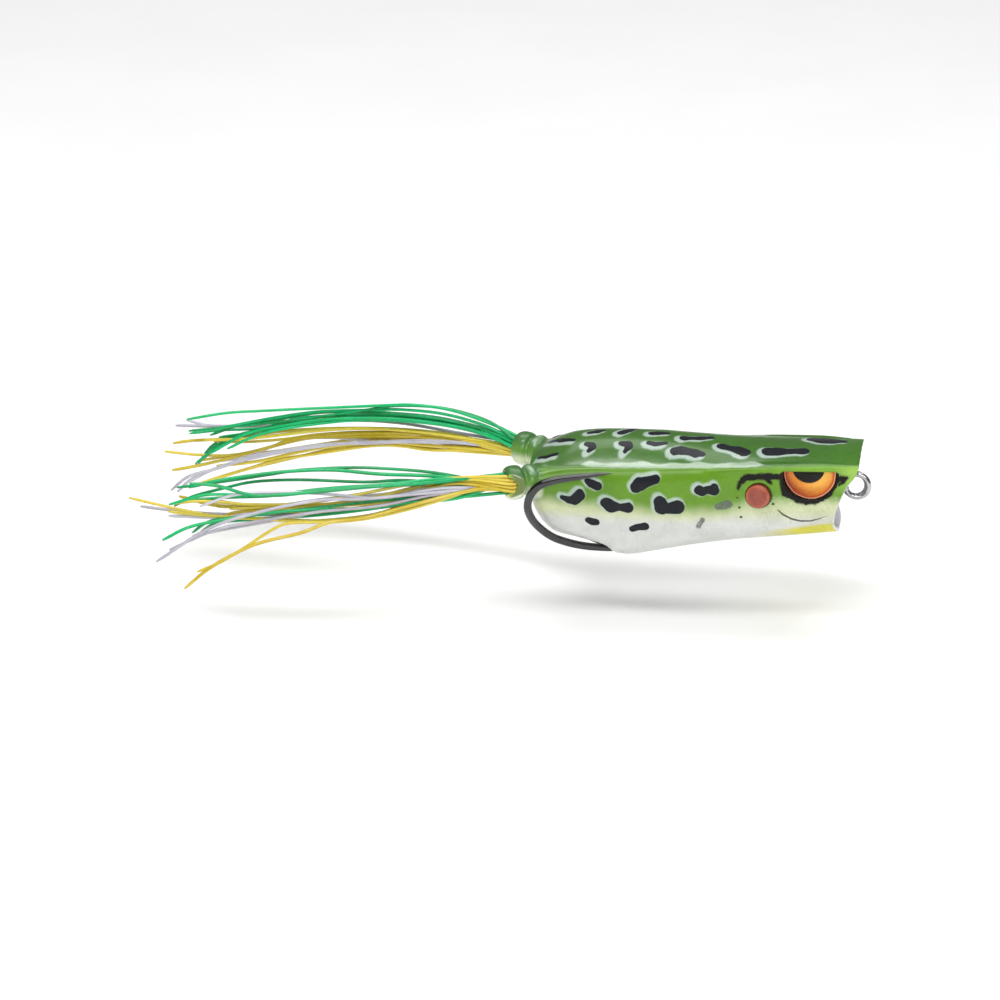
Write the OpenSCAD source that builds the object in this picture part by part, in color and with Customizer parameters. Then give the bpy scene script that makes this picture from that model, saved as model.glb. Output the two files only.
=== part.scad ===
// Hollow-bodied frog popper: a soft cupped-mouth body shell, a weighted
// double hook that lies along the belly, and two tasselled legs.
// +X is the nose, +Z is up, and the frog's right side is -Y.
// The origin is the middle of the line-tie eye, which is where the line pulls.

/* [Body shell] */
// Widest half of the body, across the middle
body_half = 9.4; // [9:0.1:9.5]
// Wall thickness of the soft shell
wall = 1.3; // [1:0.1:1.6]
// Length of the opening along the belly
slot_len = 28; // [26:0.5:28.5]
// Width of the opening along the belly
slot_w = 5.8; // [5.6:0.1:6.2]
// Diameter of the hole in the floor of the mouth
nose_hole_d = 3.7; // [3.6:0.1:4]

/* [Leg collars] */
// Diameter of the rolled bead at the end of a leg collar
bead_d = 6.0; // [5.6:0.1:6.2]
// Diameter of the bore that the strands leave by
collar_bore_d = 4.0; // [3.8:0.1:4.2]
// How far each collar turns out from the centre line, in degrees
splay = 25; // [22:1:27]

/* [Hook] */
// Wire diameter of the hook
wire_d = 1.1; // [1:0.05:1.2]
// Diameter of the hole in the line-tie eye
eye_hole_d = 3.3; // [3:0.1:3.4]
// Diameter of the keel weight
weight_d = 5.0; // [4.6:0.1:5.2]
// Length of the keel weight
weight_len = 12; // [10:0.5:13]

/* [Eyes] */
// Diameter of each eye
eye_d = 9.6; // [9:0.1:10]
// Diameter of each ear disc
ear_d = 4.4; // [4:0.1:4.8]

/* [Skirts] */
// Diameter of one skirt strand
strand_d = 0.56; // [0.5:0.02:0.58]
// Length of the longest strands, from the collar to the tip
strand_len = 68; // [62:1:70]

/* [Hidden] */

col_back = [0.20, 0.46, 0.14];
col_iris = [0.95, 0.55, 0.20];
col_lens = [0.85, 0.90, 0.92, 0.4];
col_ear = [0.80, 0.33, 0.16];
col_hook = [0.16, 0.15, 0.17];
col_lead = [0.45, 0.46, 0.48];
col_band = [0.12, 0.12, 0.12];
col_green = [0.02, 0.62, 0.38];
col_gold = [0.86, 0.72, 0.12];
col_silver = [0.80, 0.81, 0.84];

// ---------- body sections ----------
// Each row: distance back from the line tie, half width, half width of the
// back's edge, height of that edge, height of the back's middle, height of the
// widest line, height of the belly, roundness of the belly.
SEC = [
    [0,   0.79, 7.0, 6.3, 6.9, 2.5, -8.0, 3.2],
    [6,   0.84, 7.3, 6.25, 7.2, 2.0, -8.6, 3.1],
    [12,  0.89, 7.7, 6.0, 7.2, 1.5, -9.2, 3.0],
    [20,  0.95, 8.0, 5.6, 7.4, 1.0, -10.1, 2.9],
    [28,  0.99, 8.1, 5.2, 7.9, 0.6, -11.5, 2.8],
    [36,  1.00, 8.0, 4.8, 8.4, 0.2, -13.4, 2.6],
    [41,  1.00, 7.9, 4.6, 8.4, 0.0, -14.5, 2.4],
    [43,  1.00, 7.9, 4.5, 8.35, 0.0, -14.3, 2.4],
    [45,  1.00, 7.9, 4.5, 8.25, 0.0, -12.9, 2.4],
    [48,  1.00, 7.8, 4.4, 8.0, 0.2, -12.0, 2.4],
    [51,  1.00, 7.8, 4.2, 7.45, 0.4, -11.3, 2.4],
    [54,  1.00, 7.6, 3.9, 6.25, 0.7, -10.6, 2.3],
    [56,  1.00, 7.4, 3.5, 5.1, 0.9, -9.0, 2.2],
    [57.5,0.97, 7.2, 3.0, 4.2, 1.0, -6.6, 2.1],
    [58.4,0.88, 6.6, 2.3, 3.1, 1.0, -4.0, 2.0]];

function row(x, i = 0) = (i >= len(SEC) - 2 || SEC[i + 1][0] >= x) ? i : row(x, i + 1);
function at(x, c) = let (i = row(x), a = SEC[i], b = SEC[i + 1],
    t = (x - a[0]) / (b[0] - a[0])) a[c] + (b[c] - a[c]) * t;

// Side view of the mouth's edge: how far it lies from the line tie at a height.
LIP = [[-20, -2.3], [-8, -2.7], [-5.8, -3.5], [-3.4, -3.3], [-0.3, -2.3],
    [2.2, -1.2], [4.3, 0.2], [6.3, 0.9], [20, 1.2]];
function lip(z) = lookup(z, LIP);

// A point on the right-hand half of the section, from the back's middle (q = 0)
// to the belly's middle (q = 1); t is the distance inside the skin.
function sec_pt(x, q, t) = let (
    w = at(x, 1) * body_half - t, r = at(x, 2) - t, zr = at(x, 3) - t,
    zt = at(x, 4) - t, zm = at(x, 5), zb = at(x, 6) + t, n = at(x, 7))
    q < 0.3 ? let (k = q / 0.3, y = r * k) [y, zr + (zt - zr) * (1 - pow(k, 2.2))]
    : q < 0.5 ? let (a = (q - 0.3) / 0.2 * 90)
        [r + (w - r) * sin(a), zm + (zr - zm) * cos(a)]
    : let (a = (q - 0.5) / 0.5 * 90, c = pow(abs(cos(a)), 2 / n), s = pow(abs(sin(a)), 2 / n))
        [w * c, zm - (zm - zb) * s];

HALF = 13;
function q_of(j) = j / HALF;
function ring2d(x, t) = concat(
    [for (j = [0 : HALF]) sec_pt(x, q_of(j), t)],
    [for (j = [HALF - 1 : -1 : 1]) let (p = sec_pt(x, q_of(j), t)) [-p[0], p[1]]]);

// The skin: rings from the tail to the mouth's edge, then on into the cup.
OUT_X = [58.4, 57.5, 56, 54, 51, 48, 45, 43, 41, 36, 32, 28, 24, 20, 16, 12, 8, 4, 0];
function fall(x) = x >= 16 ? 0 : pow(1 - x / 16, 1.5);
function skin_ring(x) = [for (p = ring2d(x, 0)) [-x + lip(p[1]) * fall(x), -p[0], p[1]]];
// The cup narrows from the lip to the nose hole along a bowl.
CUP = [0.86, 0.74, 0.58, 0.40, 0.24];
cup_z = -0.9;
cup_deep = 5.4;
function cup_ring(k) = [for (p = ring2d(0, 0)) let (y = p[0] * k, z = cup_z + (p[1] - cup_z) * k)
    [lip(p[1]) * k * 1.02 + (1 - k) * (-2.6) - cup_deep * pow(max(0, 1 - pow(k / 0.9, 2.4)), 0.6), -y, z]];

function back_to_front(r) = [for (i = [len(r) - 1 : -1 : 0]) r[i]];
module tube_of(rings) {
    n = len(rings[0]); m = len(rings);
    c0 = [for (k = [0 : 2]) [for (p = rings[0]) p[k]] * [for (p = rings[0]) 1] / n];
    c1 = [for (k = [0 : 2]) [for (p = rings[m - 1]) p[k]] * [for (p = rings[m - 1]) 1] / n];
    polyhedron(
        points = concat([for (r = rings) each r], [c0, c1]),
        faces = concat(
            [for (i = [0 : m - 2]) for (j = [0 : n - 1]) each [
                [i * n + j, i * n + (j + 1) % n, (i + 1) * n + (j + 1) % n],
                [i * n + j, (i + 1) * n + (j + 1) % n, (i + 1) * n + j]]],
            [for (j = [0 : n - 1]) [n * m, (j + 1) % n, j]],
            [for (j = [0 : n - 1]) [n * m + 1, (m - 1) * n + j, (m - 1) * n + (j + 1) % n]]));
}

module skin() tube_of(back_to_front(concat([for (x = OUT_X) skin_ring(x)], [for (k = CUP) cup_ring(k)])));

CAV_X = [56.6, 55, 53, 50, 47, 44, 41, 36, 31, 26, 21, 17, 14, 12.8];
module cavity() tube_of(back_to_front([for (x = CAV_X) [for (p = ring2d(x, wall)) [-x, -p[0], p[1]]]]));

// ---------- leg collars ----------
collar_at = [-58.1, 7.5, 1.0];
collar_len = 4.3;
module at_collar(side) translate([collar_at[0], side * collar_at[1], collar_at[2]])
    rotate([0, -90, -side * splay]) children();

module collar(side) at_collar(side) rotate_extrude($fn = 40) polygon([
    [0, -3.0], [2.5, -3.0], [2.85, -0.2], [2.85, 1.3], [2.5, 1.55], [2.5, 1.8],
    [bead_d / 2 - 0.15, 2.1], [bead_d / 2, 2.6], [bead_d / 2, 3.4],
    [bead_d / 2 - 0.3, 4.0], [bead_d / 2 - 0.8, collar_len], [0, collar_len]]);

module collar_bore(side) at_collar(side) translate([0, 0, -3.4])
    cylinder(d = collar_bore_d, h = 12, $fn = 40);

slot_mid = -32.1;
module belly_slot() translate([slot_mid, 0, -20]) linear_extrude(height = 16) {
    square([slot_len - slot_w, slot_w], center = true);
    for (s = [-1, 1]) translate([s * (slot_len - slot_w) / 2, 0]) circle(d = slot_w, $fn = 40);
}

module nose_hole() along_shank(pivot_x) translate([0, 0, -4])
    cylinder(d = nose_hole_d, h = 8, $fn = 40);

// ---------- eyes and ears ----------
eye_at = [-7.9, 7.75, 4.6];
eye_tilt = 4;
eye_turn = 4;
module at_eye(side) translate([eye_at[0], side * eye_at[1], eye_at[2]])
    rotate([-side * (90 - eye_tilt), 0, side * eye_turn]) children();
// Each eye is cut off along the brow, just under the edge of the back.
module under_brow(side) intersection() {
    children();
    translate([eye_at[0] - 8, side > 0 ? 2 : -14, -6]) cube([16, 12, 11.1]);
}
eye_foil_t = 0.3;
eye_dome = 0.7;
module eye_socket(side) under_brow(side) at_eye(side) translate([0, 0, -0.7])
    cylinder(d = eye_d + 0.1, h = 3.2, $fn = 48);
module eye_foil(side) under_brow(side) at_eye(side) translate([0, 0, -0.7])
    cylinder(d = eye_d - 0.1, h = eye_foil_t, $fn = 48);
lens_r = (pow(eye_d / 2, 2) + pow(eye_dome, 2)) / (2 * eye_dome);
module eye_lens(side) under_brow(side) at_eye(side) intersection() {
    translate([0, 0, -0.4]) cylinder(d = eye_d - 0.1, h = 2, $fn = 48);
    translate([0, 0, 0.15 + eye_dome - lens_r]) sphere(r = lens_r, $fn = 96);
}

ear_at = [-17.0, 8.55, 0.4];
module at_ear(side) translate([ear_at[0], side * ear_at[1], ear_at[2]])
    rotate([-side * 90, 0, side * 5]) children();
module ear_pocket(side) at_ear(side) translate([0, 0, -0.25]) cylinder(d = ear_d + 0.1, h = 3, $fn = 40);
module ear_disc(side) at_ear(side) translate([0, 0, -0.25]) rotate_extrude($fn = 40)
    polygon([[0, 0], [ear_d / 2, 0], [ear_d / 2, 0.55], [ear_d / 2 - 0.25, 0.85], [0, 0.95]]);

module body_shell() color(col_back) difference() {
    union() {
        skin();
        for (s = [-1, 1]) collar(s);
    }
    cavity();
    for (s = [-1, 1]) {
        collar_bore(s);
        eye_socket(s);
        ear_pocket(s);
    }
    belly_slot();
    nose_hole();
}

// ---------- hook ----------
wire_r = wire_d / 2;
eye_mean_r = eye_hole_d / 2 + wire_r - 0.05;
pass_gap = 0.48 * wire_d;
// The shank is straight, and its line runs through the middle of the eye.
shank_slope = 0.3375;
shank_rise = 0.64;
function shank_z(x) = shank_rise + shank_slope * x;
module along_shank(x) translate([x, 0, shank_z(x)]) rotate([0, -atan(shank_slope), 0])
    rotate([0, -90, 0]) children();
pivot_x = -10.4;
// The wire's run on one side: back along the shank, round the bend and forward
// to the point, which lies beside the back. Each row is x, distance from the
// middle, z, and how much the forged wire is deeper than it is thick.
HOOK = concat([for (x = [-2.3, -5, -10, -16, -24, -32, -37]) [x, 0.52 * wire_d, shank_z(x), 1]], [
    [-40, 0.60, -12.85, 1.05], [-42, 0.75, -13.45, 1.1],
    [-44, 1.0, -13.85, 1.15], [-46.5, 1.7, -13.6, 1.2], [-49, 2.8, -13.0, 1.25],
    [-51.6, 4.1, -12.0, 1.3], [-54.4, 5.9, -10.3, 1.3], [-56.7, 7.8, -7.7, 1.3],
    [-57.9, 9.5, -5.2, 1.3], [-58.3, 10.8, -2.7, 1.3], [-57.7, 11.5, -0.3, 1.3],
    [-56, 11.5, 1.7, 1.3], [-53, 11.2, 2.7, 1.2], [-49, 10.9, 3.4, 1.1],
    [-45.6, 10.6, 3.9, 0.8], [-43.2, 10.5, 4.2, 0.15]]);
function unit(v) = v / norm(v);
function tangent(p, i) = unit(p[min(i + 1, len(p) - 1)] - p[max(i - 1, 0)]);
function side_of(t) = unit(cross(t, abs(t[2]) > 0.9 ? [1, 0, 0] : [0, 0, 1]));
// Rings of n points round a path, deep[i] times as deep as they are thick.
function wire_rings(p, n, rad, deep) = [for (i = [0 : len(p) - 1]) let (t = tangent(p, i),
    b = unit(p[i] - [-47, p[i][1], -4] - t * (t * (p[i] - [-47, p[i][1], -4]))),
    a = cross(t, b)) [for (k = [0 : n - 1]) p[i]
        + rad * min(1, deep[i]) * a * cos(360 * k / n) + rad * deep[i] * b * sin(360 * k / n)]];
function strand_rings(p, n, rad) = [for (i = [0 : len(p) - 1]) let (t = tangent(p, i),
    a = side_of(t), b = cross(a, t)) [for (k = [0 : n - 1]) p[i]
        + rad * (a * cos(360 * k / n) + b * sin(360 * k / n))]];
module half_hook(side) {
    p = [for (q = HOOK) [q[0], side * q[1], q[2]]];
    tube_of(wire_rings(p, 10, wire_r, [for (q = HOOK) q[3]]));
}
// The eye is the middle of the wire, wound into two turns that lie side by side.
module coil() rotate([90, 0, 0]) difference() {
    for (s = [-1, 1]) translate([0, 0, s * pass_gap]) rotate_extrude($fn = 60)
        translate([eye_mean_r, 0]) circle(r = wire_r, $fn = 24);
    cylinder(d = eye_hole_d, h = 10, center = true, $fn = 60);
}
module line_eye() color(col_hook) coil();
module hook_wire(side) difference() {
    half_hook(side);
    coil();
}
// Brazing that joins the two shanks, between the nose and the weight.
module shank_braze() color(col_lead) difference() {
    along_shank(-18.5) translate([0, 0, -5]) cylinder(d = 1.0, h = 10, $fn = 24);
    for (s = [-1, 1]) half_hook(s);
}
weight_at = -31.5;
weight_up = 0.7;
module keel_weight() color(col_lead) difference() {
    along_shank(weight_at) translate([weight_up, 0, -weight_len / 2]) rotate_extrude($fn = 48)
        polygon([[0, 0], [weight_d / 2 - 1, 0], [weight_d / 2, 1.2],
            [weight_d / 2, weight_len - 1.2], [weight_d / 2 - 1, weight_len], [0, weight_len]]);
    for (s = [-1, 1]) half_hook(s);
}

// ---------- legs ----------
root_r = collar_bore_d / 2;
// Inside the bore the strands are one tight bundle, with a round outer end.
module skirt_root(side) at_collar(side) rotate_extrude($fn = 40)
    polygon(concat([[0, -7.6], [root_r, -7.6]],
        [for (a = [0 : 10 : 90]) [root_r * cos(a), collar_len + root_r * sin(a)]]));
// A rubber band round the bundle, inside the body, stops it pulling out.
module leg_band(side) at_collar(side) translate([0, 0, -7.5]) rotate_extrude($fn = 40)
    polygon([[root_r, 0], [root_r + 0.4, 0], [root_r + 0.4, 0.7], [root_r, 0.7]]);

// Places in the bundle, in rings round its middle: inwards, then upwards.
pitch = 0.66;
SPOT = concat([[0, 0]],
    [for (i = [0 : 5]) pitch * [cos(60 * i), sin(60 * i)]],
    [for (i = [0 : 11]) 1.93 * pitch * [cos(30 * i + 15), sin(30 * i + 15)]],
    [for (i = [0 : 6]) 2.75 * pitch * [cos(51.43 * i + 10), sin(51.43 * i + 10)]]);
// 0 green, 1 gold, 2 silver; one entry for each place in the bundle
DYE_R = [1, 0, 1, 1, 2, 0, 0, 1, 0, 1, 1, 1, 1, 2, 0, 0, 0, 2, 0, 1, 0, 1, 1, 2, 0, 2];
DYE_L = [0, 2, 0, 0, 1, 1, 1, 2, 0, 0, 0, 0, 1, 1, 1, 1, 2, 2, 0, 0, 0, 2, 1, 1, 0, 2];

// A strand leaves along the collar, turns to trail straight back and droops.
// The leg swings about the middle of the collar's mouth, so a strand starts
// just clear of the root's round end.
function strand_pt(o, k, side, s) = let (
    L = strand_len * (0.80 + 0.20 * ((k * 37) % 11) / 10),
    v = s * L / strand_len,
    wob = 0.7 * v * sin(300 * v + 47 * k),
    along = root_r + 0.35 + v * strand_len * (1 - 0.03 * v),
    inward = o[0] * (1 + 3.8 * pow(v, 1.1)) + strand_len * 0.36 * (v * v - v * v * v / 3) + wob,
    up = o[1] * (1 + 3.4 * pow(v, 1.1)) - 6.2 * v * v + 1.2 * sin(180 * v) + 0.6 * wob,
    c = cos(splay), e = sin(splay))
    [collar_at[0] - c * (collar_len + along) - e * inward,
     side * (collar_at[1] + e * (collar_len + along) - c * inward),
     collar_at[2] + up];
module strand(o, k, side)
    tube_of(strand_rings([for (i = [0 : 9]) strand_pt(o, k, side, i / 9)], 5, strand_d / 2));
module strands(side, dye, which)
    for (k = [0 : len(SPOT) - 1]) if (dye[k] == which) strand(SPOT[k], k, side);

module right_eye_foil() color(col_iris) eye_foil(-1);
module left_eye_foil() color(col_iris) eye_foil(1);
module right_eye_lens() color(col_lens) eye_lens(-1);
module left_eye_lens() color(col_lens) eye_lens(1);
module right_ear_disc() color(col_ear) ear_disc(-1);
module left_ear_disc() color(col_ear) ear_disc(1);
module right_hook_wire() color(col_hook) hook_wire(-1);
module left_hook_wire() color(col_hook) hook_wire(1);
module right_leg_band() color(col_band) leg_band(-1);
module left_leg_band() color(col_band) leg_band(1);
module right_skirt_root() color(col_gold) skirt_root(-1);
module left_skirt_root() color(col_green) skirt_root(1);
module right_strands_green() color(col_green) strands(-1, DYE_R, 0);
module right_strands_gold() color(col_gold) strands(-1, DYE_R, 1);
module right_strands_silver() color(col_silver) strands(-1, DYE_R, 2);
module left_strands_green() color(col_green) strands(1, DYE_L, 0);
module left_strands_gold() color(col_gold) strands(1, DYE_L, 1);
module left_strands_silver() color(col_silver) strands(1, DYE_L, 2);

body_shell();
right_eye_foil();
right_eye_lens();
left_eye_foil();
left_eye_lens();
right_ear_disc();
left_ear_disc();
line_eye();
right_hook_wire();
left_hook_wire();
shank_braze();
keel_weight();
right_leg_band();
left_leg_band();
right_skirt_root();
left_skirt_root();
right_strands_green();
right_strands_gold();
right_strands_silver();
left_strands_green();
left_strands_gold();
left_strands_silver();
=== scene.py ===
import math
import bpy, bmesh
import numpy as np
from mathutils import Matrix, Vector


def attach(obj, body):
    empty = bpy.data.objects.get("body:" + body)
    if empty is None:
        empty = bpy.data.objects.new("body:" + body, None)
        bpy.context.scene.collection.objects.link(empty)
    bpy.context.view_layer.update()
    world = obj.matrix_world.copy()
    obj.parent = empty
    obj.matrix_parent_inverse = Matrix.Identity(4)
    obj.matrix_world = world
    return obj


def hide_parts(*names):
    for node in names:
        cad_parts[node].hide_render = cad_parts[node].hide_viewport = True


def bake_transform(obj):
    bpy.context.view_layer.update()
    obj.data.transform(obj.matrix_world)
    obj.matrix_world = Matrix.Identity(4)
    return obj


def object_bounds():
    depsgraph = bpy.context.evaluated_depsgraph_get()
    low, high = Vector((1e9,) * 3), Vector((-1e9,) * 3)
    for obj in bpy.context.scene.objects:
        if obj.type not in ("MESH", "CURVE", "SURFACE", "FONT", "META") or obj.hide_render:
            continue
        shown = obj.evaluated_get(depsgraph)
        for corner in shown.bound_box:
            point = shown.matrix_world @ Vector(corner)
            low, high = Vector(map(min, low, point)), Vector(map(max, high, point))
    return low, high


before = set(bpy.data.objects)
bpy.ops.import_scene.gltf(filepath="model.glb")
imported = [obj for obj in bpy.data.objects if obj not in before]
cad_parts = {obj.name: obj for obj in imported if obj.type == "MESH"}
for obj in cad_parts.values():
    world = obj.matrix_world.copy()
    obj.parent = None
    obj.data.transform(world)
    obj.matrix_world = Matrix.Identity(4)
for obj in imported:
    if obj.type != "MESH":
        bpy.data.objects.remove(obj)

import openvdb
from mathutils import Vector, Matrix

CAD_LO, CAD_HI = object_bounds()
MM = 0.001
SC = bpy.context.scene


# ------------------------------------------------------------------ camera
def build_camera():
    az, el = math.radians(7.0), math.radians(21.0)
    back = Vector((math.sin(az) * math.cos(el), -math.cos(az) * math.cos(el), math.sin(el)))
    right = Vector((math.cos(az), math.sin(az), 0))
    up = Vector((-math.sin(az) * math.sin(el), math.cos(az) * math.sin(el), math.cos(el)))
    target = right * -0.06414 + up * -0.0027
    cam = bpy.data.cameras.new("camera")
    cam.lens, cam.sensor_width = 200, 36
    cam.clip_start, cam.clip_end = 0.01, 50
    o = bpy.data.objects.new("camera", cam)
    SC.collection.objects.link(o)
    o.location = target + back * 1.001
    o.rotation_mode = "QUATERNION"
    o.rotation_quaternion = (-back).to_track_quat("-Z", "Y")
    SC.camera = o


build_camera()


# ------------------------------------------------------------------ meshes
def link(name, me):
    o = bpy.data.objects.new(name, me)
    SC.collection.objects.link(o)
    return o


def mesh_obj(name, verts, faces, smooth=True):
    """verts in millimetres."""
    me = bpy.data.meshes.new(name)
    verts = np.asarray(verts, float)
    me.from_pydata((verts * MM).tolist(), [], [list(map(int, f)) for f in faces])
    me.validate()
    if smooth:
        me.shade_smooth()
    return link(name, me)


def big_mesh(name, verts, quads):
    """A large quad mesh made without python lists; verts in millimetres."""
    me = bpy.data.meshes.new(name)
    me.vertices.add(len(verts))
    me.vertices.foreach_set("co", (np.asarray(verts, np.float32) * MM).ravel())
    nq = len(quads)
    me.loops.add(nq * 4)
    me.loops.foreach_set("vertex_index", np.asarray(quads, np.int32).ravel())
    me.polygons.add(nq)
    me.polygons.foreach_set("loop_start", np.arange(0, nq * 4, 4, dtype=np.int32))
    me.update(calc_edges=True)
    me.shade_smooth()
    return link(name, me)


def add_attr(obj, name, values, kind="FLOAT"):
    a = obj.data.attributes.new(name, kind, "POINT")
    v = np.asarray(values, np.float32)
    if kind == "FLOAT_COLOR":
        v = np.concatenate([v, np.ones((len(v), 1), np.float32)], 1)
        a.data.foreach_set("color", v.ravel())
    else:
        a.data.foreach_set("value", v.ravel())


def pchip(xs, ys, x):
    """Monotone cubic interpolation."""
    xs, ys, x = np.asarray(xs, float), np.asarray(ys, float), np.asarray(x, float)
    h = np.diff(xs)
    d = np.diff(ys) / h
    m = np.zeros_like(ys)
    for i in range(1, len(xs) - 1):
        if d[i - 1] * d[i] > 0:
            w1, w2 = 2 * h[i] + h[i - 1], h[i] + 2 * h[i - 1]
            m[i] = (w1 + w2) / (w1 / d[i - 1] + w2 / d[i])
    m[0], m[-1] = d[0], d[-1]
    x = np.clip(x, xs[0], xs[-1])
    k = np.clip(np.searchsorted(xs, x, side="right") - 1, 0, len(xs) - 2)
    t = (x - xs[k]) / h[k]
    return ((1 + 2 * t) * (1 - t) ** 2 * ys[k] + t * (1 - t) ** 2 * h[k] * m[k]
            + t * t * (3 - 2 * t) * ys[k + 1] + t * t * (t - 1) * h[k] * m[k + 1])


def spline(points, n):
    """Catmull-Rom through points, n samples evenly spaced along it."""
    p = np.asarray(points, float)
    p = np.concatenate([[2 * p[0] - p[1]], p, [2 * p[-1] - p[-2]]])
    out = []
    for i in range(1, len(p) - 2):
        a, b, c, d = p[i - 1:i + 3]
        t = np.linspace(0, 1, 24, endpoint=False)[:, None]
        out.append(0.5 * (2 * b + (c - a) * t + (2 * a - 5 * b + 4 * c - d) * t ** 2
                          + (3 * b - a - 3 * c + d) * t ** 3))
    out = np.concatenate(out + [p[-2:-1]])
    s = np.concatenate([[0], np.cumsum(np.linalg.norm(np.diff(out[:, :3], axis=0), axis=1))])
    u = np.linspace(0, s[-1], n)
    return np.stack([np.interp(u, s, out[:, k]) for k in range(out.shape[1])], 1)


def tube(path, rad, nseg=8, flat=1.0, close=True):
    """A tube round a path by parallel transport. rad may vary along it; flat widens the section."""
    p = np.asarray(path, float)[:, :3]
    n = len(p)
    rad = np.broadcast_to(np.asarray(rad, float), (n,))
    t = np.gradient(p, axis=0)
    t /= np.linalg.norm(t, axis=1)[:, None]
    a = np.cross(t[0], [0, 0, 1.0])
    if np.linalg.norm(a) < 0.1:
        a = np.cross(t[0], [0, 1.0, 0])
    a /= np.linalg.norm(a)
    vs = []
    ang = np.arange(nseg) * 2 * math.pi / nseg
    for i in range(n):
        a = a - t[i] * (a @ t[i])
        a /= np.linalg.norm(a)
        b = np.cross(t[i], a)
        vs.append(p[i] + rad[i] * (np.cos(ang)[:, None] * a * flat + np.sin(ang)[:, None] * b))
    v = np.concatenate(vs)
    f = []
    for i in range(n - 1):
        for j in range(nseg):
            k = (j + 1) % nseg
            f.append((i * nseg + j, i * nseg + k, (i + 1) * nseg + k, (i + 1) * nseg + j))
    if close:
        f.append(tuple(range(nseg - 1, -1, -1)))
        f.append(tuple((n - 1) * nseg + j for j in range(nseg)))
    return v, f


def join_parts(parts):
    v, f, at = [], [], 0
    for pv, pf in parts:
        v.append(pv)
        f += [tuple(i + at for i in q) for q in pf]
        at += len(pv)
    return np.concatenate(v), f


def lathe(profile, n=64):
    """Revolves (r, z) points round local Z. r = 0 ends close."""
    pr = [(float(r), float(z)) for r, z in profile]
    ang = np.arange(n) * 2 * math.pi / n
    v, rows = [], []
    for r, z in pr:
        if r < 1e-6:
            rows.append([len(v)])
            v.append((0, 0, z))
        else:
            rows.append(list(range(len(v), len(v) + n)))
            v += [(r * math.cos(t), r * math.sin(t), z) for t in ang]
    f = []
    for a, b in zip(rows, rows[1:]):
        for j in range(n):
            k = (j + 1) % n
            q = [a[j % len(a)], a[k % len(a)], b[k % len(b)], b[j % len(b)]]
            q = list(dict.fromkeys(q))
            if len(q) > 2:
                f.append(tuple(q))
    return np.array(v, float), f


def smooth_profile(pts, n=60):
    return spline([(r, z, 0) for r, z in pts], n)[:, :2]


def put(v, m):
    v = np.asarray(v, float)
    m = np.array(m, float)
    return v @ m[:3, :3].T + m[:3, 3]


def rot(axis, deg):
    return Matrix.Rotation(math.radians(deg), 4, axis)


def eye_matrix(side, at, tilt, turn):
    return (Matrix.Translation((at[0], side * at[1], at[2])) @ rot("Z", side * turn)
            @ rot("X", -side * (90 - tilt)))


COLLAR_AT = (-58.1, 7.5, 1.0)
COLLAR_LEN = 4.3
SPLAY = math.radians(25)
CS, SN = math.cos(SPLAY), math.sin(SPLAY)
EYE_AT, EAR_AT = (-7.9, 7.75, 4.6), (-17.0, 8.55, 0.4)
SLOPE, RISE = 0.3375, 0.64


def shank_z(x):
    return RISE + SLOPE * x


# ------------------------------------------------------------------ node kit
def srgb(r, g, b):
    c = [x / 255 for x in (r, g, b)]
    return tuple(x / 12.92 if x <= 0.04045 else ((x + 0.055) / 1.055) ** 2.4 for x in c)


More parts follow.
